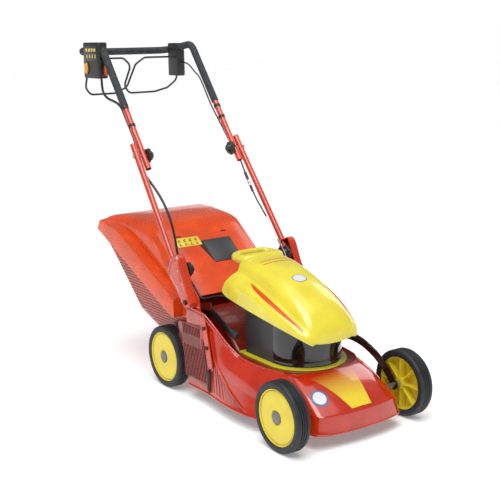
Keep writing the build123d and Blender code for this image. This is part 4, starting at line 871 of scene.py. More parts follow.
# the skirt's rear edge leans back towards the bottom
lean = []
for p in cover_rows[-1]:
    drop = max(0.0, (408 - p[2]) / (408 - edge_z(-178)))
    lean.append((p[0], p[1] + 31 * drop, p[2] + 7 * drop))
cover_rows[-1] = lean
nose = [(p[0] * 0.98, -534.5 + 0.0012 * p[0] * p[0], 254.5 + 0.0012 * p[0] * p[0]) for p in cover_rows[0]]
cover_rows[0] = [(x, y + 0.0012 * x * x, z) for x, y, z in cover_rows[0]]
points, faces = grid([nose] + cover_rows)
cover = piece("cover_shell", points, faces, cover_plastic, "chassis", ("motor_cover",), wall=2.8, rounds=2,
    angle=45)

# %% Nose panel under the first section, carry handle
def loop_plate(outer, hole, low_z, high_z, soft):
    """A plate with a hole: two closed outlines with as many points, with rounded edges."""
    rows = []
    for outline, wider, z in ((outer, -soft, high_z), (outer, 0, high_z - soft), (outer, 0, low_z + soft),
            (outer, -soft, low_z),
                             (hole, soft, low_z), (hole, 0, low_z + soft), (hole, 0, high_z - soft),
                             (hole, soft, high_z)):
        cx = sum(p[0] for p in outline) / len(outline)
        cy = sum(p[1] for p in outline) / len(outline)
        row = []
        for x, y in outline:
            d = Vector((x - cx, y - cy))
            d = d * (1 + wider / max(d.length, 1))
            row.append((cx + d.x, cy + d.y, z))
        rows.append(row)
    rows.append(rows[0])
    return grid(rows, closed=True)


def rounded(half_x, y0, y1):
    """A rounded rectangle as a superellipse."""
    cy, hy = (y0 + y1) / 2, (y1 - y0) / 2
    return [(half_x * c, cy + hy * s) for c, s in (squared(a, 2 / 4.5) for a in round_angles(48))]


outer = rounded(79, -206, -101)
hole = rounded(55, -165, -126)
points, faces = loop_plate(outer, hole, 428, 458.5, 8)


def handle_point(x, y, z):
    """The loop narrows and drops towards its rear bar, and its top is arched across."""
    narrow = 1.0 if y < -170 else 1.0 - 0.10 * (y + 170) / 70
    fall = 0.0 if y < -190 else 0.02 * (y + 190)
    return x * narrow, y, z - fall - 0.0006 * x * x * (1 if z > 450 else 0.3)


points = [handle_point(*p) for p in points]
piece("carry_handle", points, faces, cover_plastic, "chassis", rounds=1, angle=50)

# %% [markdown]
# The orange blades on the cover's shoulders are thin inlays. Each is a strip drawn from above and
# dropped on to the cover, so that it follows the moulding exactly.

# %% Inlays on the cover
cover_tree = surface_of(cover)


def drop_on(surface, x, y, lift):
    """The point on a surface straight below (x, y), in metres, lifted a little along its normal."""
    hit, normal, _, _ = surface.ray_cast(Vector((x, y, 0.6)), Vector((0, 0, -1)))
    if hit is None:
        return None
    if normal.z < 0:
        normal = -normal
    return hit + normal * lift


def inlay(name, left, right, surface, material, body, steps=24, across=4, thick=0.0005):
    """A thin strip between two lines of (x, y) in mm, laid on a surface."""
    a = curve_through([(x, y, 0) for x, y in left], steps)
    b = curve_through([(x, y, 0) for x, y in right], steps)
    rows = []
    for p, q in zip(a, b):
        row = []
        for k in range(across + 1):
            spot = p.lerp(q, k / across) * MM
            found = drop_on(surface, spot.x, spot.y, lift=thick)
            if found is None:
                break
            row.append(found / MM)
        if len(row) == across + 1:
            rows.append(row)
    return piece(name, *grid(rows), material, body, wall=0.35, angle=40)


stripe_out = [(94, -503), (104, -470), (112, -430), (117, -390), (119, -345), (115, -300), (101, -262)]
stripe_in = [(91, -500), (97, -470), (101, -430), (103, -390), (103, -345), (101, -300), (98, -264)]
for side, tag in ((-1, "left"), (1, "right")):
    inlay("stripe_" + tag, [(side * x, y) for x, y in stripe_out], [(side * x, y) for x, y in stripe_in],
          cover_tree, stripe_plastic, "chassis")
for k, y in enumerate((-262, -244)):
    inlay(f"slot_line_{k}", [(-52, y - 1.2), (0, y - 1.2), (52, y - 1.2)],
        [(-52, y + 1.2), (0, y + 1.2), (52, y + 1.2)], cover_tree, stripe_plastic, "chassis", steps=8)


def disc_on(name, centre, half_x, half_y, surface, material, body, lift):
    """A thin oval badge laid on a surface."""
    rows = []
    for share in (0.02, 0.35, 0.7, 1.0):
        row = []
        for a in round_angles(40):
            spot = mm(centre[0] + half_x * share * cos(a), centre[1] + half_y * share * sin(a), 0)
            row.append(drop_on(surface, spot.x, spot.y, lift=lift) / MM)
        rows.append(row)
    piece(name, *grid(rows, closed=True), material, body, wall=0.3, angle=40)


disc_on("cover_badge_rim", (0, -368), 24, 17, cover_tree, badge_blue, "chassis", 0.0004)
disc_on("cover_badge", (0, -368), 22, 15, cover_tree, badge_white, "chassis", 0.0008)

# %% [markdown]
# ## Front emblem plate
#
# A thin plate lies on the hood. Its colour runs from yellow at the nose to the enamel's red at
# the motor, as a print that fades; a Gradient driven by the Y coordinate gives that.

# %% Emblem plate
emblem_print = finish("emblem_print", "#E6CC2C", 0.26, 4, 0.04, shade=0.02, coat=0.8)
tree = emblem_print.node_tree
shader = tree.nodes["Principled BSDF"]
place = put(tree, "ShaderNodeTexCoord").outputs["Object"]
parts = put(tree, "ShaderNodeSeparateXYZ", {"Vector": place})
fade = put(tree, "ShaderNodeMapRange", {"Value": parts.outputs["Y"], "From Min": -0.652, "From Max": -0.525})
ramp = put(tree, "ShaderNodeValToRGB", {"Fac": fade})
ramp.color_ramp.elements[0].position = 0.25
ramp.color_ramp.elements[0].color = linear("#E6CC2C")
ramp.color_ramp.elements[1].position = 1.0
ramp.color_ramp.elements[1].color = linear("#B5260E")
tree.links.new(ramp.outputs["Color"], shader.inputs["Base Color"])
inlay("emblem_plate", [(-35, -646), (-52, -600), (-70, -560), (-92, -522)],
    [(35, -646), (47, -600), (57, -560), (64, -524)], deck_surface, emblem_print, "chassis", steps=12,
    across=16)
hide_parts("front_emblem")
disc_on("deck_badge_rim", (-105, -590), 25, 25, deck_surface, badge_blue, "chassis", 0.0003)
disc_on("deck_badge", (-105, -590), 19, 19, deck_surface, badge_white, "chassis", 0.0006)

# %% [markdown]
# ## Grass box
#
# The box is two mouldings. The body is a tapered trough with a pattern of square holes in its
# sides, drawn as dark pits of painted shade, and the lid is a tray with a dome. Both are grids of
# cross-sections along the mower.

# %% Profiles of the grass box
floor_line = [(-55, 150), (195, 138), (305, 183), (473, 438), (492, 452)]
seam_line = [(-55, 240), (25, 248), (492, 452)]


def half_width(z):
    """The body widens from the bottom to the rim."""
    return 148 + 58 * (z - 138) / 312


cuts = [-55, -20, 25, 80, 140, 180, 195, 212, 250, 290, 305, 322, 360, 400, 440, 462, 474, 484]
body_rows = []
for y in cuts:
    low, high = at(floor_line, y), at(seam_line, y)
    low = min(low, high - 6)
    w0 = half_width(low)
    r = min(22, (high - low) * 0.4)
    half = [(0, low), (w0 - 2 * r, low), (w0 - r, low + 0.5), (w0 - 0.3 * r, low + 0.3 * r),
        (half_width(low + r), low + r)]
    half += [(half_width(low + r + (high - low - r) * s), low + r + (high - low - r) * s)
        for s in (0.33, 0.66, 1.0)]
    body_rows.append(mirrored(half, y))
points, faces = grid(body_rows)
piece("box_floor", points, faces, box_plastic, "grass_box", ("catcher_body",), wall=2.6, angle=40,
    slot="red_plastic")
front = [(-150, -54.5, 150), (150, -54.5, 150), (half_width(240), -54.5, 240), (105, -54.5, 240),
    (105, -54.5, 160), (-105, -54.5, 160), (-105, -54.5, 240), (-half_width(240), -54.5, 240)]
piece("box_front", front, [tuple(range(8))], box_plastic, "grass_box", wall=2.6, bevel=0.5,
    slot="red_plastic")

# %% Holes in the sides
# A grid of points is turned on to the sloping side, trimmed to the panel's outline and given one
# small square pit per point. The outline is kept as three straight limits.
# each pit is a dark square on the wall, not an opening: painted shade for the inside of the box seen through
# a hole
hole_dark = finish("hole_dark", "#3A0C06", 0.6, 2, 0.2, shade=0.2)
tree, given, result = new_tree("side_holes", {
    "Length": 0.475, "Height": 0.32, "Pitch": 0.0095,
    "Hole": 0.0042, "Side": 1.0, "Lean": 58 / 312,
})


def number(operation, a, b):
    """One Math node's result in the tree at hand."""
    return put(tree, "ShaderNodeMath", {0: a, 1: b}, operation=operation).outputs[0]


def limit(y0, z0, y1, z1, above):
    """True for points above (or below) the line from (y0, z0) to (y1, z1), in mm."""
    slope = (z1 - z0) / (y1 - y0)
    line = number("ADD", number("MULTIPLY", along, slope), (z0 - slope * y0) * MM)
    return number("GREATER_THAN", upward, line) if above else number("LESS_THAN", upward, line)


columns = number("DIVIDE", given["Length"], given["Pitch"])
rows_up = number("DIVIDE", given["Height"], given["Pitch"])
sheet = put(tree, "GeometryNodeMeshGrid", {"Size X": given["Length"], "Size Y": given["Height"],
                                           "Vertices X": columns, "Vertices Y": rows_up})
spot = put(tree, "ShaderNodeSeparateXYZ", {"Vector": put(tree,
    "GeometryNodeInputPosition").outputs["Position"]})
along = number("ADD", spot.outputs["X"], 0.24)
upward = number("ADD", spot.outputs["Y"], 0.30)
width_here = number("ADD", number("MULTIPLY", number("SUBTRACT", upward, 0.138), given["Lean"]), 0.1483)
placed = put(tree, "ShaderNodeCombineXYZ", {"X": number("MULTIPLY", width_here, given["Side"]), "Y": along,
    "Z": upward})
inside = number("MULTIPLY", limit(25, 226, 470, 420, False), limit(305, 214, 450, 425, True))
inside = number("MULTIPLY", inside, number("GREATER_THAN", upward, 0.168))
inside = number("MULTIPLY", inside, number("GREATER_THAN", along, 0.018))
inside = number("MULTIPLY", inside, limit(195, 166, 310, 216, True))
kept = put(tree, "GeometryNodeSeparateGeometry", {"Geometry": sheet, "Selection": inside}, domain="POINT")
stood = put(tree, "GeometryNodeSetPosition", {"Geometry": kept, "Position": placed})
pit_size = put(tree, "ShaderNodeCombineXYZ", {"X": 0.0008, "Y": given["Hole"], "Z": given["Hole"]})
pit = put(tree, "GeometryNodeMeshCube", {"Size": pit_size})
lean = number("MULTIPLY", number("ARCTANGENT", given["Lean"], 0.0), given["Side"])
face_turn = put(tree, "ShaderNodeCombineXYZ", {"X": pi / 4, "Y": lean})
copies = put(tree, "GeometryNodeInstanceOnPoints", {
    "Points": stood, "Instance": pit, "Rotation": face_turn})
close_tree(tree, result, copies, hole_dark)
for side, tag in ((-1.0, "left"), (1.0, "right")):
    grow("side_holes_" + tag, tree, {"Side": side}, "grass_box")

# %% Lid
dome_top = [(-55, 316), (193, 498), (225, 508), (255, 512), (323, 517), (435, 511), (470, 503), (487, 493),
    (498, 470)]
tray_top = [(-55, 285), (-2, 306), (60, 338), (354, 476), (430, 488), (487, 493), (498, 470)]
lid_cuts = [-55, -54, -30, -3, -2, 4, 30, 60, 120, 170, 193, 215, 240, 280, 323, 354, 380, 420, 455, 475,
    488, 495, 500]
lid_rows = []
for y in lid_cuts:
    rim = at(seam_line, y) + 1.0
    dome = at(dome_top, y)
    tray = min(at(tray_top, y), dome - 2)
    edge = 215 if y > -2.5 else 182
    foot = 181 if y < 340 else 181 + (y - 340) * 0.05
    ledge = edge - 12
    tray = max(tray, rim + 3)
    dome = max(dome, tray + 1)
    r = min(26.0, (dome - tray) * 0.45)
    half = [(0, dome + 1), (80, dome + 0.6), (foot - r - 14, dome), (foot - 0.35 * r - 8, dome - 0.3 * r),
        (foot - 4, dome - r), (foot, tray + 3 + (dome - r - tray - 3) * 0.4), (foot + 1, tray + 2),
        (ledge, tray), (edge - 3, tray - 2.5), (edge, tray - 8 if tray - 8 > rim else (tray + rim) / 2),
        (edge, rim)]
    lid_rows.append(mirrored(half, y))
piece("lid_shell", *grid(lid_rows), lid_plastic, "grass_box", ("catcher_lid",), wall=2.6, angle=32,
    slot="red_plastic")

# %% Level flap, label and slots on the lid
PANEL_LOW, PANEL_HIGH = (-77.0, 300.0), (193.0, 498.0)
PANEL = hypot(PANEL_HIGH[0] - PANEL_LOW[0], PANEL_HIGH[1] - PANEL_LOW[1])
PY, PZ = (PANEL_HIGH[0] - PANEL_LOW[0]) / PANEL, (PANEL_HIGH[1] - PANEL_LOW[1]) / PANEL


def on_panel(x, along, lift):
    """A point on the lid's sloping front panel."""
    return (x, PANEL_LOW[0] + PY * along - PZ * lift, PANEL_LOW[1] + PZ * along + PY * lift)


def panel_plate(x0, x1, a0, a1, low, high):
    """A flat piece on the panel: x0 to x1 across, a0 to a1 along, low to high above it."""
    corners = ((x0, a0), (x1, a0), (x1, a1), (x0, a1))
    points = [on_panel(x, a, lift) for lift in (low, high) for x, a in corners]
    return points, [(3, 2, 1, 0), (4, 5, 6, 7)] + [(i, (i + 1) % 4, 4 + (i + 1) % 4, 4 + i) for i in range(4)]


flap_parts = [panel_plate(-23.5, 83.5, 151, 249, 0.8, 3.4)]
flap_parts += [panel_plate(-18, 78, a, a + 1.6, 3.4, 4.0) for a in (156, 243)]
piece("flap_plate", *join(*flap_parts), flap_plastic, "level_flap", ("level_flap",), bevel=0.7, angle=50)
piece("panel_label", *panel_plate(-122, -30, 233, 272, 0.2, 0.8), label_yellow, "grass_box", bevel=0.2)
figures = []
for k in range(4):
    x = -113 + k * 21
    strokes = ((0, 9, 238, 240), (2, 5, 240, 248), (0, 10, 254, 256), (6, 9, 257, 266), (1, 4, 257, 262))
    figures += [panel_plate(x + b, x + c, low, high, 0.8, 1.1) for b, c, low, high in strokes]
piece("label_figures", *join(*figures), label_ink, "grass_box")
# the two slots are thin dark plates on the panel: painted shade where the openings would be
slot_parts = [panel_plate(x - 9, x + 9, 276, 282, 0.2, 0.7) for x in (-99, 75)]
piece("lid_slots", *join(*slot_parts), hole_dark, "grass_box", bevel=0.3)
# a dark wedge laid on the panel at the flap's left edge: painted shadow under the flap's lifted side
wedge = [on_panel(x, a, lift) for lift in (0.2, 0.7) for x, a in ((-24, 151), (-24, 249), (-47, 246))]
piece("flap_gap", wedge, [(0, 1, 2), (5, 4, 3), (0, 3, 4, 1), (1, 4, 5, 2), (2, 5, 3, 0)], control_plastic,
    "grass_box")

# %% [markdown]
# ## Handle
#
# The tubes are round and true in the CAD model, so they keep their shape and get their enamel.
# The brackets at their feet are folded from sheet and ribbed, so they are made again here.

# %% Handle tubes and sleeve
for node, material in (("lower_tubes", tube_enamel), ("upper_tube", tube_enamel), ("grip_sleeve", grip_foam)):
    repaint(node, material)

bracket_line = [(-121, 318), (-115, 302.5), (-99, 296.2), (-83, 302.5), (-60, 326), (6, 392), (-3, 420),
    (-14, 444), (-30, 450), (-50, 454), (-80, 398)]
outline = curve_through([(0, y, z) for y, z in bracket_line + bracket_line[:1]], 3)[:-1]
middle = Vector((0, sum(p.y for p in outline) / len(outline), sum(p.z for p in outline) / len(outline)))
for side, tag in ((-1, "left"), (1, "right")):
    rows = []
    for inset, x in ((1, 199.8), (1, 222), (2.5, 226.5), (5, 228.6), (13, 228.6), (15, 226.6), (18, 226.4),
            (20, 228.2), (26, 228.4)):
        shrunk = [middle + (p - middle) * (1 - inset / max((p - middle).length, 1)) for p in outline]
        rows.append([(side * x, p.y, p.z) for p in shrunk])
    points, faces = grid(rows, closed=True)
    faces.append(tuple(range(len(points) - len(outline), len(points))))
    piece("bracket_" + tag, points, faces, tube_enamel, "lower_handle", ("handle_brackets",) if side < 0
        else (), wall=2.2, angle=40, slot="painted_steel")
repaint("handle_ears", tube_enamel)

# %% [markdown]
# ## Clamping knobs
#
# Each knob is a lobed plastic grip on a carriage bolt. Its outline is one wavy circle, so the
# lobes come from a cosine rather than from separate pieces.

# %% Knobs
def knob_shape(side, face_x, y, z, tip_x, head):
    """A lobed knob on the inside of the handle and the bolt that runs outwards from it."""
    rows = []
    for depth, radius, wave in ((0, 19.0, 0.6), (0.8, 21.5, 1.6), (3, 22.2, 1.8), (9.5, 22.0, 1.8),
            (11.6, 20.5, 1.4), (12.2, 17.5, 0.6),
                                (12.4, 15.5, 0), (20.5, 11.5, 0), (22, 10.0, 0), (22, 6.0, 0), (21, 5.4, 0),
                                (20.8, 0.05, 0)):
        row = []
        for a in round_angles(84):
            r = radius + wave * cos(7 * a)
            row.append((side * (face_x - depth), y + r * cos(a), z + r * sin(a)))
        rows.append(row)
    back = [(side * face_x, y + 0.05 * cos(a), z + 0.05 * sin(a)) for a in round_angles(84)]
    grip = grid([back] + rows, closed=True)
    bolt = [(side * face_x, 0.05), (side * face_x, 3.95)]
    if head:
        bolt += [(side * tip_x, 3.95), (side * tip_x, 6.6), (side * (tip_x + 1.6), 6.4),
            (side * (tip_x + 3.4), 4.5), (side * (tip_x + 3.9), 0.05)]
    else:
        bolt += [(side * (tip_x - 0.8), 3.95), (side * tip_x, 3.2), (side * tip_x, 0.05)]
    return grip, turned(bolt, (0, y, z), 32)


FOLD, LOCK = (218.0, 732.0), (-56.0, 408.0)
for label, (y, z), face_x, tip_x, head in (("fold", FOLD, 167.5, 213.0, True),
        ("lock", LOCK, 194.5, 228.5, False)):
    for side, tag in ((-1, "left"), (1, "right")):
        grip, bolt = knob_shape(side, face_x, y, z, tip_x, head)
        body = f"{label}_knob_{tag}"
        piece(body + "_grip", *grip, knob_plastic, body, (body,), angle=35)
        piece(body + "_bolt", *bolt, zinc_steel, body, angle=35)

# %% [markdown]
# ## Control boxes and bails
#
# The boxes are moulded halves with soft edges and a parting line. The bails are bent steel rods
# with a black coat. They are swept along the same route that the CAD model uses.

# %% Control boxes
def soft_box_shell(name, x0, x1, y0, y1, z0, z1, body, stands_for, seam, corner=8.0):
    """A moulded box with rounded upright corners, rounded rims and a parting line."""
    loop = []
    for cx, cy, start in ((x1 - corner, y1 - corner, 0), (x0 + corner, y1 - corner, pi / 2),
            (x0 + corner, y0 + corner, pi), (x1 - corner, y0 + corner, 3 * pi / 2)):
        for k in range(6):
            a = start + pi / 2 * k / 5
            loop.append((cx + corner * cos(a), cy + corner * sin(a)))
    mx, my = (x0 + x1) / 2, (y0 + y1) / 2

    def ring(wider, z):
        return [(x + (wider if x > mx else -wider), y + (wider if y > my else -wider), z) for x, y in loop]

    levels = [(-4.0, z0), (-1.2, z0 + 1.0), (0, z0 + 3.4), (0, seam - 0.7), (-0.8, seam - 0.4),
        (-0.8, seam + 0.4), (0, seam + 0.7), (0, z1 - 3.4), (-1.2, z1 - 1.0), (-4.0, z1)]
    rows = [ring(g, z) for g, z in levels]
    points, faces = grid(rows, closed=True)
    n = len(loop)
    faces += [tuple(range(n - 1, -1, -1)), tuple(range(len(points) - n, len(points)))]
    return piece(name, points, faces, control_plastic, body, stands_for, angle=45)


def cut(thing, *cutters):
    """Cuts shapes out of a piece with exact booleans and removes the cutters."""
    for shape in cutters:
        tool = add("cutter", sheet_mesh("cutter", *shape))
        step = thing.modifiers.new("cut", "BOOLEAN")
        step.operation = "DIFFERENCE"
        step.solver = "EXACT"
        step.object = tool
        bpy.context.view_layer.update()
        graph = bpy.context.evaluated_depsgraph_get()
        plain = bpy.data.meshes.new_from_object(thing.evaluated_get(graph))
        thing.modifiers.clear()
        thing.data = plain
        bpy.data.objects.remove(tool)
    thing.data.shade_smooth()
    thing.data.set_sharp_from_angle(angle=radians(45))


def block(x0, x1, y0, y1, z0, z1):
    """A plain box."""
    points = [(x, y, z) for x in (x0, x1) for y in (y0, y1) for z in (z0, z1)]
    return points, [(0, 1, 3, 2), (4, 6, 7, 5), (0, 4, 5, 1), (2, 3, 7, 6), (0, 2, 6, 4), (1, 5, 7, 3)]


near = soft_box_shell("switch_housing", -200, -164, 463, 580, 972, 1092, "upper_handle", ("switch_box",),
    seam=1058)
cut(near, block(-196.5, -183.5, 561, 590, 968, 1047), block(-196, -168, 470, 560, 976, 1049))
far = soft_box_shell("clutch_housing", 162, 196, 553, 623, 967, 1084, "upper_handle", ("clutch_box",),
    seam=1060)
cut(far, block(165.5, 178.5, 561, 630, 960, 1047))

plate = block(-201.0, -200.0, 474, 570, 1030, 1080)
piece("switch_panel", *plate, housing_satin, "upper_handle", bevel=0.4)
marks = [block(-201.3, -201.0, 482 + 20 * k, 494 + 20 * k, 1062, 1072) for k in range(4)]
marks += [block(-201.3, -201.0, 482 + 20 * k, 488 + 20 * k, 1040, 1052) for k in range(4)]
piece("switch_marks", *join(*marks), label_yellow, "upper_handle")


def oval(x0, x1, y, z, half_y, half_z, soft=1.6, count=48):
    """An oval button with rounded edges, along X from x0 to x1 (x1 is the inside)."""
    rows = []
    for shrink, x in ((half_y, x0 - 0.4), (half_y * 0.6, x0 - 0.3), (soft, x0),
            (soft * 0.3, x0 + soft * 0.3), (0, x0 + soft), (0, x1), (half_y, x1)):
        rows.append([(x, y + (half_y - shrink + 0.01) * cos(a), z + (half_z - shrink + 0.01) * sin(a))
            for a in round_angles(count)])
    return grid(rows, closed=True)


piece("button_face", *oval(-205.6, -196.2, 552, 1006, 11.8, 18.8), start_plastic, "start_button",
    ("start_button",), angle=45)
collar_rows = []
for wider, x in ((0.6, -200.4), (1.2, -202.2), (3.2, -202.2), (4.2, -200.4)):
    collar_rows.append([(x, 552 + (12 + wider) * cos(a), 1006 + (19 + wider) * sin(a))
        for a in round_angles(48)])
piece("button_collar", *grid(collar_rows, closed=True), control_plastic, "upper_handle", wall=0.4, angle=50)

# %% Inlet for the extension cord
body_rows = []
for wider, y in ((0, 463), (0, 451), (-1, 449.4), (-3, 449.2), (-3.4, 452.5), (-3.4, 455)):
    body_rows.append([(-173 + (8 + wider) * c, y, 1000 + (17 + wider) * q) for c,
        q in map(squared, round_angles(40))])
points, faces = grid(body_rows, closed=True)
faces.append(tuple(range(len(points) - 40, len(points))))
piece("inlet_shell", points, faces, inlet_plastic, "upper_handle", ("mains_inlet",), angle=40)
pins = []
for z in (992, 1008):
    pin_points, pin_faces = turned([(0, 0.05), (0, 2.2), (4.6, 2.2), (5.4, 1.4), (5.4, 0.05)], (0, 0, 0), 20)
    pins.append(([(-173 + p[1], 455 - p[0], z + p[2]) for p in (tuple(q) for q in pin_points)], pin_faces))
piece("inlet_pins", *join(*pins), zinc_steel, "upper_handle", angle=40)

# %% Bails
AXIS_Y, AXIS_Z, BAIL_LEAN, CROSS = 568.0, 1036.0, radians(8.3), 4.6
BAIL_R, BAIL_BEND = 3.5, 26


def bail_point(x, drop, back=0.0):
    """A point on a bail, drop below the pivot line in the bails' leaning plane, back behind it."""
    return Vector((x, AXIS_Y + drop * sin(BAIL_LEAN) + back * cos(BAIL_LEAN),
        AXIS_Z - drop * cos(BAIL_LEAN) + back * sin(BAIL_LEAN)))


def bent_rod(name, route, radius, bend, material, body, stands_for=()):
    """A rod of straight runs with true round bends, as a bending machine makes it."""
    path = [route[0]]
    for a, b, c in zip(route, route[1:], route[2:]):
        into, out = (b - a), (c - b)
        turn_by = into.angle(out)
        if turn_by < 0.01:
            path.append(b)
            continue
        half_tan = abs(sin(turn_by / 2) / cos(turn_by / 2))
        r = min(bend, 0.45 * min(into.length, out.length) / max(0.01, half_tan))
        reach = r * half_tan
        first, last = b - into.normalized() * reach, b + out.normalized() * reach
        middle = (into.normalized() * -1 + out.normalized()).normalized()
        centre = b + middle * (r / cos(turn_by / 2))
        for k in range(9):
            t = k / 8
            u, v = first - centre, last - centre
            path.append(centre + (u * sin((1 - t) * turn_by) + v * sin(t * turn_by)) / sin(turn_by))
    path.append(route[-1])
    return rod(name, path, radius, material, body, stands_for, smooth=False)


bail_coat = finish("bail_coat", "#1C1C1E", 0.35, 1.5, 0.3, shade=0.1, coat=0.2)
bent_rod("blade_bail_rod", [bail_point(-199.3, 0), bail_point(-190, 0), bail_point(-190, 66),
    bail_point(-194, 100), bail_point(-174, 124), bail_point(-74, 124, CROSS), bail_point(-30, 104, CROSS),
    bail_point(2, 24, CROSS), bail_point(34, 0), bail_point(167, 0)], BAIL_R, BAIL_BEND, bail_coat,
    "blade_bail", ("blade_bail",))
bent_rod("drive_bail_rod", [bail_point(-169, 0), bail_point(-50, 0), bail_point(-22, 26, -CROSS),
    bail_point(-46, 98, -CROSS), bail_point(-24, 124, -CROSS), bail_point(82, 124), bail_point(134, 112),
    bail_point(172, 84), bail_point(172, 0), bail_point(195.3, 0)], BAIL_R, BAIL_BEND, bail_coat,
    "drive_bail", ("drive_bail",))

# %% [markdown]
# ## Cables
#
# The mains lead and the clutch cable are clipped to the handle all the way, so they follow its
# bends. Each run is a smooth curve with a round section. The clutch cable ends in a threaded
# adjuster and a spring, which Geometry Nodes wind from a helix.

# %% Cables
(FOLD_Y, FOLD_Z), TILTED = FOLD, radians(53.0)
LEAD_R, SHEATH_R, WIRE_R = 4, 2.5, 1.2


def beside(x, distance, back):
    """A point beside the handle: distance up from the fold, back behind the tubes."""
    return (x, FOLD_Y + distance * cos(TILTED) + back * sin(TILTED),
        FOLD_Z + distance * sin(TILTED) - back * cos(TILTED))


rod("lead_upper", [(-182, 482, 972), (-182, 482, 944), (-182, 471, 920), (-181, 443, 905), (-180, 400, 899),
    beside(-179, 205, 18), beside(-180, 150, 16), beside(-178, 95, 17), beside(-180, 45, 16),
    beside(-184, 5, 16)], LEAD_R, cable_pvc, "upper_handle", ("mains_lead_upper",), resolution=8)
rod("lead_middle", [beside(-193, -8, 16), beside(-193, -45, 18), beside(-184, -90, 10),
    beside(-176, -140, 1), beside(-171, -195, -3), beside(-168, -250, 4), beside(-167, -300, 20),
    beside(-166, -352, 46), (-168, -4, 384), (-171, -52, 354), (-171.5, -88, 326), (-165, -99, 318),
    (-148, -99, 318), (-130, -99, 318)], LEAD_R, cable_pvc, "lower_handle", ("mains_lead_middle",),
    resolution=8)
rod("lead_lower", [(-128.5, -99, 318), (-118, -99, 318), (-100, -101, 318), (-94.5, -122, 316),
    (-96, -170, 310), (-98, -210, 306), (-98, -242, 304)], LEAD_R, cable_pvc, "chassis",
    ("mains_lead_lower",), resolution=8)
rod("clutch_sheath_upper", [(179, 552.5, 1016), (178, 530, 1016), (172, 486, 1007), (164, 441, 984),
    beside(161, 300, 6), beside(162, 250, 8), beside(166, 190, 15), beside(172, 140, 17),
    beside(176, 85, 15), beside(178, 40, 14.5), beside(183, 5, 14)], SHEATH_R, cable_pvc, "upper_handle",
    ("clutch_cable_upper",), resolution=8)
rod("clutch_sheath_lower", [beside(194, -8, 15), beside(193.5, -45, 17), beside(189, -100, 15),
    beside(186, -155, 11), beside(184, -200, 7), beside(179, -244, -7), beside(173, -282, -20)], SHEATH_R,
    cable_pvc, "lower_handle", ("clutch_cable_lower",), resolution=8)
rod("clutch_inner_wire", [beside(172, -288, -22), (170, -30, 456), (169, -71, 421), (165, -104, 368),
    (157, -136, 304), (146, -164, 246), (128, -196, 173)], WIRE_R, zinc_steel, "chassis", ("clutch_wire",),
    resolution=8)
repaint("cable_clips", control_plastic)

# %% Adjuster and return spring on the clutch cable
for k, (a, b, radius, material) in enumerate(((-92, -122, 4.6, control_plastic),
        (-122, -146, 3.4, zinc_steel), (-130, -135, 5.2, zinc_steel),
                                              (-146, -168, 4.2, control_plastic))):
    share_a, share_b = (-a - 92) / 76, (-b - 92) / 76
    rod(f"adjuster_{k}", [beside(189.6 - 4.2 * share_a, a, 15.2 - 4.6 * share_a),
        beside(189.6 - 4.2 * share_b, b, 15.2 - 4.6 * share_b)], radius, material, "lower_handle",
        smooth=False)
tree, given, result = new_tree("return_spring", {
    "Turns": 11.0, "Length": 0.03, "Radius": 0.0036, "Wire": 0.0008,
    "Foot": (0, 0, 0), "Turn": (0, 0, 0),
})
coil = put(tree, "GeometryNodeCurveSpiral", {"Resolution": 14, "Rotations": given["Turns"],
    "Start Radius": given["Radius"], "End Radius": given["Radius"], "Height": given["Length"]})
section = put(tree, "GeometryNodeCurvePrimitiveCircle", {"Resolution": 6, "Radius": given["Wire"]})
wound = put(tree, "GeometryNodeCurveToMesh", {"Curve": coil, "Profile Curve": section, "Fill Caps": True})
placed = put(tree, "GeometryNodeTransform", {"Geometry": wound, "Translation": given["Foot"],
    "Rotation": given["Turn"]})
close_tree(tree, result, placed, zinc_steel)
foot, head = Vector((169.4, -62, 429)), Vector((170, -36, 451))
spring_turn = (head - foot).to_track_quat("Z", "Y").to_euler()
grow("return_spring", tree, {"Foot": foot * MM, "Turn": Vector(spring_turn),
    "Length": (head - foot).length * MM}, "chassis")

# %% [markdown]
# ## Small steel parts and the drive under the deck
#
# The height lever slides on a notched rack left of the motor. The drive, the blade and the bolts
# keep the CAD model's shapes and get their real metals.

# %% Height rack with its notches and lever
RACK_LOW, RACK_HIGH = (-262.0, 233.0), (-132.0, 289.0)
rack_turn = atan2(RACK_HIGH[1] - RACK_LOW[1], RACK_HIGH[0] - RACK_LOW[0])


def by_rack(along, across, foot=RACK_LOW):
    """A point (y, z) along the rack's line and across it."""
    return (foot[0] + along * cos(rack_turn) - across * sin(rack_turn),
        foot[1] + along * sin(rack_turn) + across * cos(rack_turn))


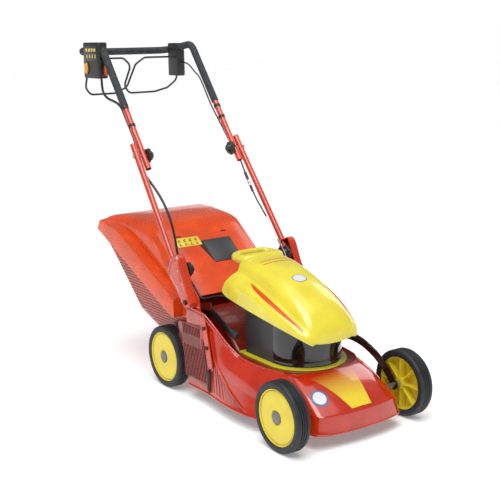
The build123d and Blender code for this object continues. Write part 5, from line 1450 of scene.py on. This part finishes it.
RACK = hypot(RACK_HIGH[0] - RACK_LOW[0], RACK_HIGH[1] - RACK_LOW[1])
rack_shape = [by_rack(a, c) for a, c in ((0, -8), (3, -11), (RACK - 3, -11), (RACK, -8), (RACK, 8),
    (RACK - 3, 11), (3, 11), (0, 8))]
piece("rack_plate", *slab(rack_shape, -160, -156.2), control_plastic, "chassis", ("height_rack",), bevel=0.8)
strip = [by_rack(a, c) for a, c in ((8, -9.5), (RACK - 8, -9.5), (RACK - 8, -6.5), (8, -6.5))]
piece("rack_strip", *slab(strip, -156.2, -155.2), zinc_steel, "chassis", bevel=0.2)
tree, given, result = new_tree("rack_teeth", {
    "Count": 12, "Start": (0, 0, 0), "Step": (0, 0, 0),
    "Tooth": (0.001, 0.004, 0.012), "Turn": 0.0,
})
line = put(tree, "GeometryNodeMeshLine", {"Count": given["Count"], "Start Location": given["Start"],
    "Offset": given["Step"]})
tooth = put(tree, "GeometryNodeMeshCube", {"Size": given["Tooth"]})
tilt = put(tree, "ShaderNodeCombineXYZ", {"X": given["Turn"]})
copies = put(tree, "GeometryNodeInstanceOnPoints", {"Points": line, "Instance": tooth, "Rotation": tilt})
close_tree(tree, result, copies, housing_satin)
start_y, start_z = by_rack(14, 3)
grow("rack_teeth", tree, {"Start": mm(-155.8, start_y, start_z), "Turn": rack_turn,
                          "Step": mm(0, 10.2 * cos(rack_turn), 10.2 * sin(rack_turn))}, "chassis")
lever_rows = []
for inset, x in ((6, -154.4), (0.5, -154.4), (0, -153.5), (0, -146), (1.2, -143.4), (4, -142.6), (8, -142.6)):
    row = []
    for c, q in map(squared, round_angles(28)):
        y, z = by_rack(14 + (13 - inset) * c, (9 - inset * 0.7) * q, (RACK_LOW[0], RACK_LOW[1] + 0.5))
        row.append((x, y, z))
    lever_rows.append(row)
points, faces = grid(lever_rows, closed=True)
faces += [tuple(range(27, -1, -1)), tuple(range(len(points) - 28, len(points)))]
piece("height_lever", points, faces, knob_plastic, "height_slider", ("height_slider",), angle=40)

# %% Finishes on the pieces that keep their CAD shape
black_zinc = finish("black_zinc", "#2B2B2D", 0.38, 2, 0.2, metallic=0.7, shade=0.1)
keeps = {"side_bars": tube_enamel, "stator": core_iron, "front_axle": zinc_steel, "front_arm": arm_enamel,
    "front_axle_plate": deck_enamel, "rear_axle_beam": zinc_steel, "gearbox": cast_alloy,
    "drive_belt": belt_rubber, "drive_shaft": zinc_steel, "input_pulley": cast_alloy, "rotor": zinc_steel,
    "motor_pulley": cast_alloy, "blade_holder": cast_alloy, "blade": blade_steel, "blade_bolt": zinc_steel,
    "clutch_arm": zinc_steel, "deck_bolts": black_zinc}
for node, material in keeps.items():
    repaint(node, material)

# %% [markdown]
# ## Last step
#
# The bounds of everything that renders, the floor left out, are measured. The visual model has
# to stay inside the CAD box.

# %% Measure the bounds of the visual model
low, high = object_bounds()
